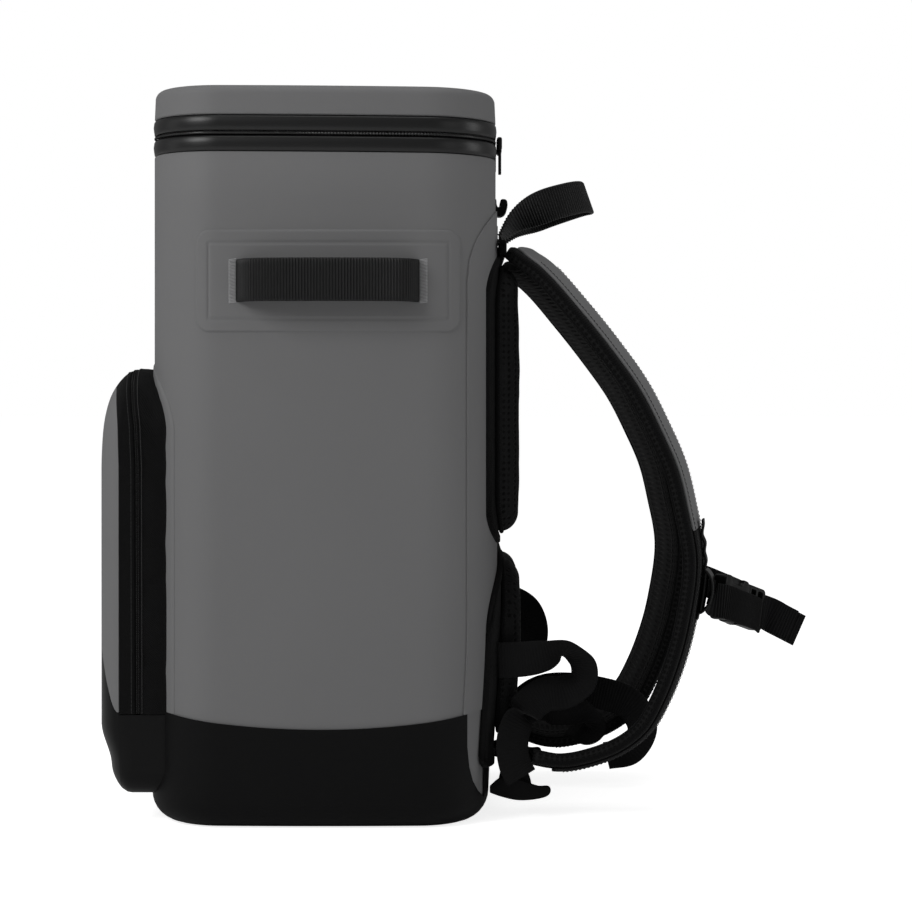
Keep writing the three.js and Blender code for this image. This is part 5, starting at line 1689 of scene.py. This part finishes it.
def build_anchor(name, side):
    length = anchor_high[1] - anchor_low[1]
    leaf = [(0, 0.62), (0.2, 0.98), (0.5, 0.88), (0.8, 0.62), (0.95, 0.62), (1.0, 0.42),
            (0.93, 0.16), (0.7, 0.02), (0.45, 0.0), (0.2, 0.14), (0.0, 0.32)]
    y0, z0, z1 = anchor_low[1], anchor_low[2], anchor_high[2]
    outline = [(y0 + a * length, z0 + b * (z1 - z0)) for a, b in spline(leaf, 60)]
    middle = side * (anchor_low[0] + anchor_high[0]) / 2
    tab = outline_prism(f"anchor_tab_{name}", outline, middle - 0.0013, middle + 0.0013)
    bevel(tab, 0.0009, 50)
    finish_piece(tab, BOOT, [f"strap_anchor_{name}"])


for name, side in SIDES:
    build_anchor(name, side)

# %% Slack webbing
def slack_stations(side, rows):
    """Rows of side, off the back and height as shares, and a direction across the webbing."""
    return [((side * x * PANEL_WIDTH / 2, HALF_DEPTH + out * STRAP_REACH, z * STRAP_HEIGHT),
             (side * a, b, c))
            for x, out, z, a, b, c in rows]


hip_near = [
    (0.911, 0.01, 0.277, 0, 0, 1), (0.927, 0.12, 0.279, 0, 0, 1),
    (0.935, 0.227, 0.285, 0.35, 0, 0.94), (0.919, 0.333, 0.295, 0.85, 0, 0.52),
    (0.871, 0.413, 0.271, 0.75, 0.6, 0.3), (0.839, 0.413, 0.237, 0.7, 0.7, -0.2),
    (0.839, 0.333, 0.22, 0.4, 0.2, -0.9), (0.863, 0.227, 0.215, 0.3, 0, -0.95),
    (0.903, 0.133, 0.188, 0.3, -0.5, -0.8), (0.935, 0.08, 0.145, 0.4, -0.9, -0.2),
    (0.952, 0.087, 0.101, 0.4, -0.9, 0), (0.952, 0.12, 0.077, 0.4, -0.9, 0),
]
hip_fold = [
    (0.685, 0.087, 0.118, 1, 0, 0), (0.694, 0.12, 0.145, 0.9, 0, 0.4),
    (0.718, 0.173, 0.176, 0.7, -0.4, 0.6), (0.782, 0.267, 0.188, 0.3, 0, 0.95),
    (0.782, 0.373, 0.184, 0.4, 0.2, 0.9), (0.742, 0.453, 0.164, 0.7, 0.65, 0.3),
    (0.661, 0.44, 0.15, 0.8, 0.4, -0.4), (0.613, 0.373, 0.155, 0.8, 0, -0.6),
]
hip_far = [
    (0.911, 0.007, 0.333, 0, 0, 1), (0.927, 0.093, 0.333, 0, 0.2, 0.95),
    (0.927, 0.187, 0.314, 0.2, 0.55, 0.8), (0.911, 0.227, 0.275, 0.3, 0.9, 0.2),
    (0.887, 0.2, 0.237, 0.3, 0.8, -0.5), (0.871, 0.12, 0.217, 0.3, 0.2, -0.9),
    (0.895, 0.053, 0.213, 0.3, 0, -0.95),
]
far_tail = [
    (0.645, 0.087, 0.122, 1, 0, 0), (0.565, 0.133, 0.15, 0.8, -0.2, 0.5),
    (0.403, 0.28, 0.179, 0.3, 0, 0.95), (0.306, 0.507, 0.179, 0.2, 0.2, 0.95),
    (0.29, 0.707, 0.155, 0.2, 0.6, 0.8), (0.282, 0.773, 0.111, 0.3, 0.9, 0),
    (0.29, 0.707, 0.068, 0.3, 0.7, -0.6), (0.306, 0.587, 0.058, 0.4, 0.2, -0.9),
]
adjuster = [
    (0.677, 0.053, 0.0935, 1, 0, 0.17), (0.69, 0.06, 0.08, 0.85, 0.5, 0),
    (0.718, 0.073, 0.068, 0.5, 0.85, 0),
    (0.738, 0.087, 0.058, 0.15, 1, 0), (0.7455, 0.093, 0.041, 0, 1, 0),
]
slack = [
    # piece, side, rows, steps along it, node
    ("hip_webbing_near", 1, hip_near, 300, "hip_web_near"),
    ("hip_webbing_fold", 1, hip_fold, 220, "hip_web_fold"),
    ("hip_webbing_far", -1, hip_far, 200, "hip_web_far"),
    ("strap_end_far", -1, far_tail, 260, "strap_tail_far"),
    ("adjuster_near", 1, adjuster, 60, "adjuster_web_near"),
    ("adjuster_far", -1, adjuster, 60, "adjuster_web_far"),
]
for name, side, rows, count, node in slack:
    ribbon(name, slack_stations(side, rows), count, WEB_WIDTH, 0.0016, [node])
for node in ("ladder_lock_near", "ladder_lock_far"):
    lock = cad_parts[node]
    lock.data.materials.clear()
    lock.data.materials.append(PLASTIC)
print("slack webbing:", len(slack))

# %% [markdown]
# ## Floor
# The bag stands on a plain pale floor, almost as bright as the studio around it.

# %% Floor
FLOOR_GLOW = 0.8


def add_floor():
    deselect()
    bpy.ops.mesh.primitive_plane_add(size=80, location=(0, 0, 0))
    floor = bpy.context.object
    floor.name = "floor"
    deselect()
    white = new_finish("floor_white", (0.93, 0.93, 0.93), 0.9, 0.1)
    shader = white.node_tree.nodes["Principled BSDF"]
    shader.inputs["Emission Color"].default_value = (1, 1, 1, 1)
    seen = add_node(white, "ShaderNodeLightPath")
    glow = add_node(white, "ShaderNodeMath", operation="MULTIPLY")
    glow.inputs[1].default_value = FLOOR_GLOW
    link(white, seen.outputs["Is Camera Ray"], glow.inputs[0])
    link(white, glow.outputs["Value"], shader.inputs["Emission Strength"])
    floor.data.materials.append(white)


add_floor()
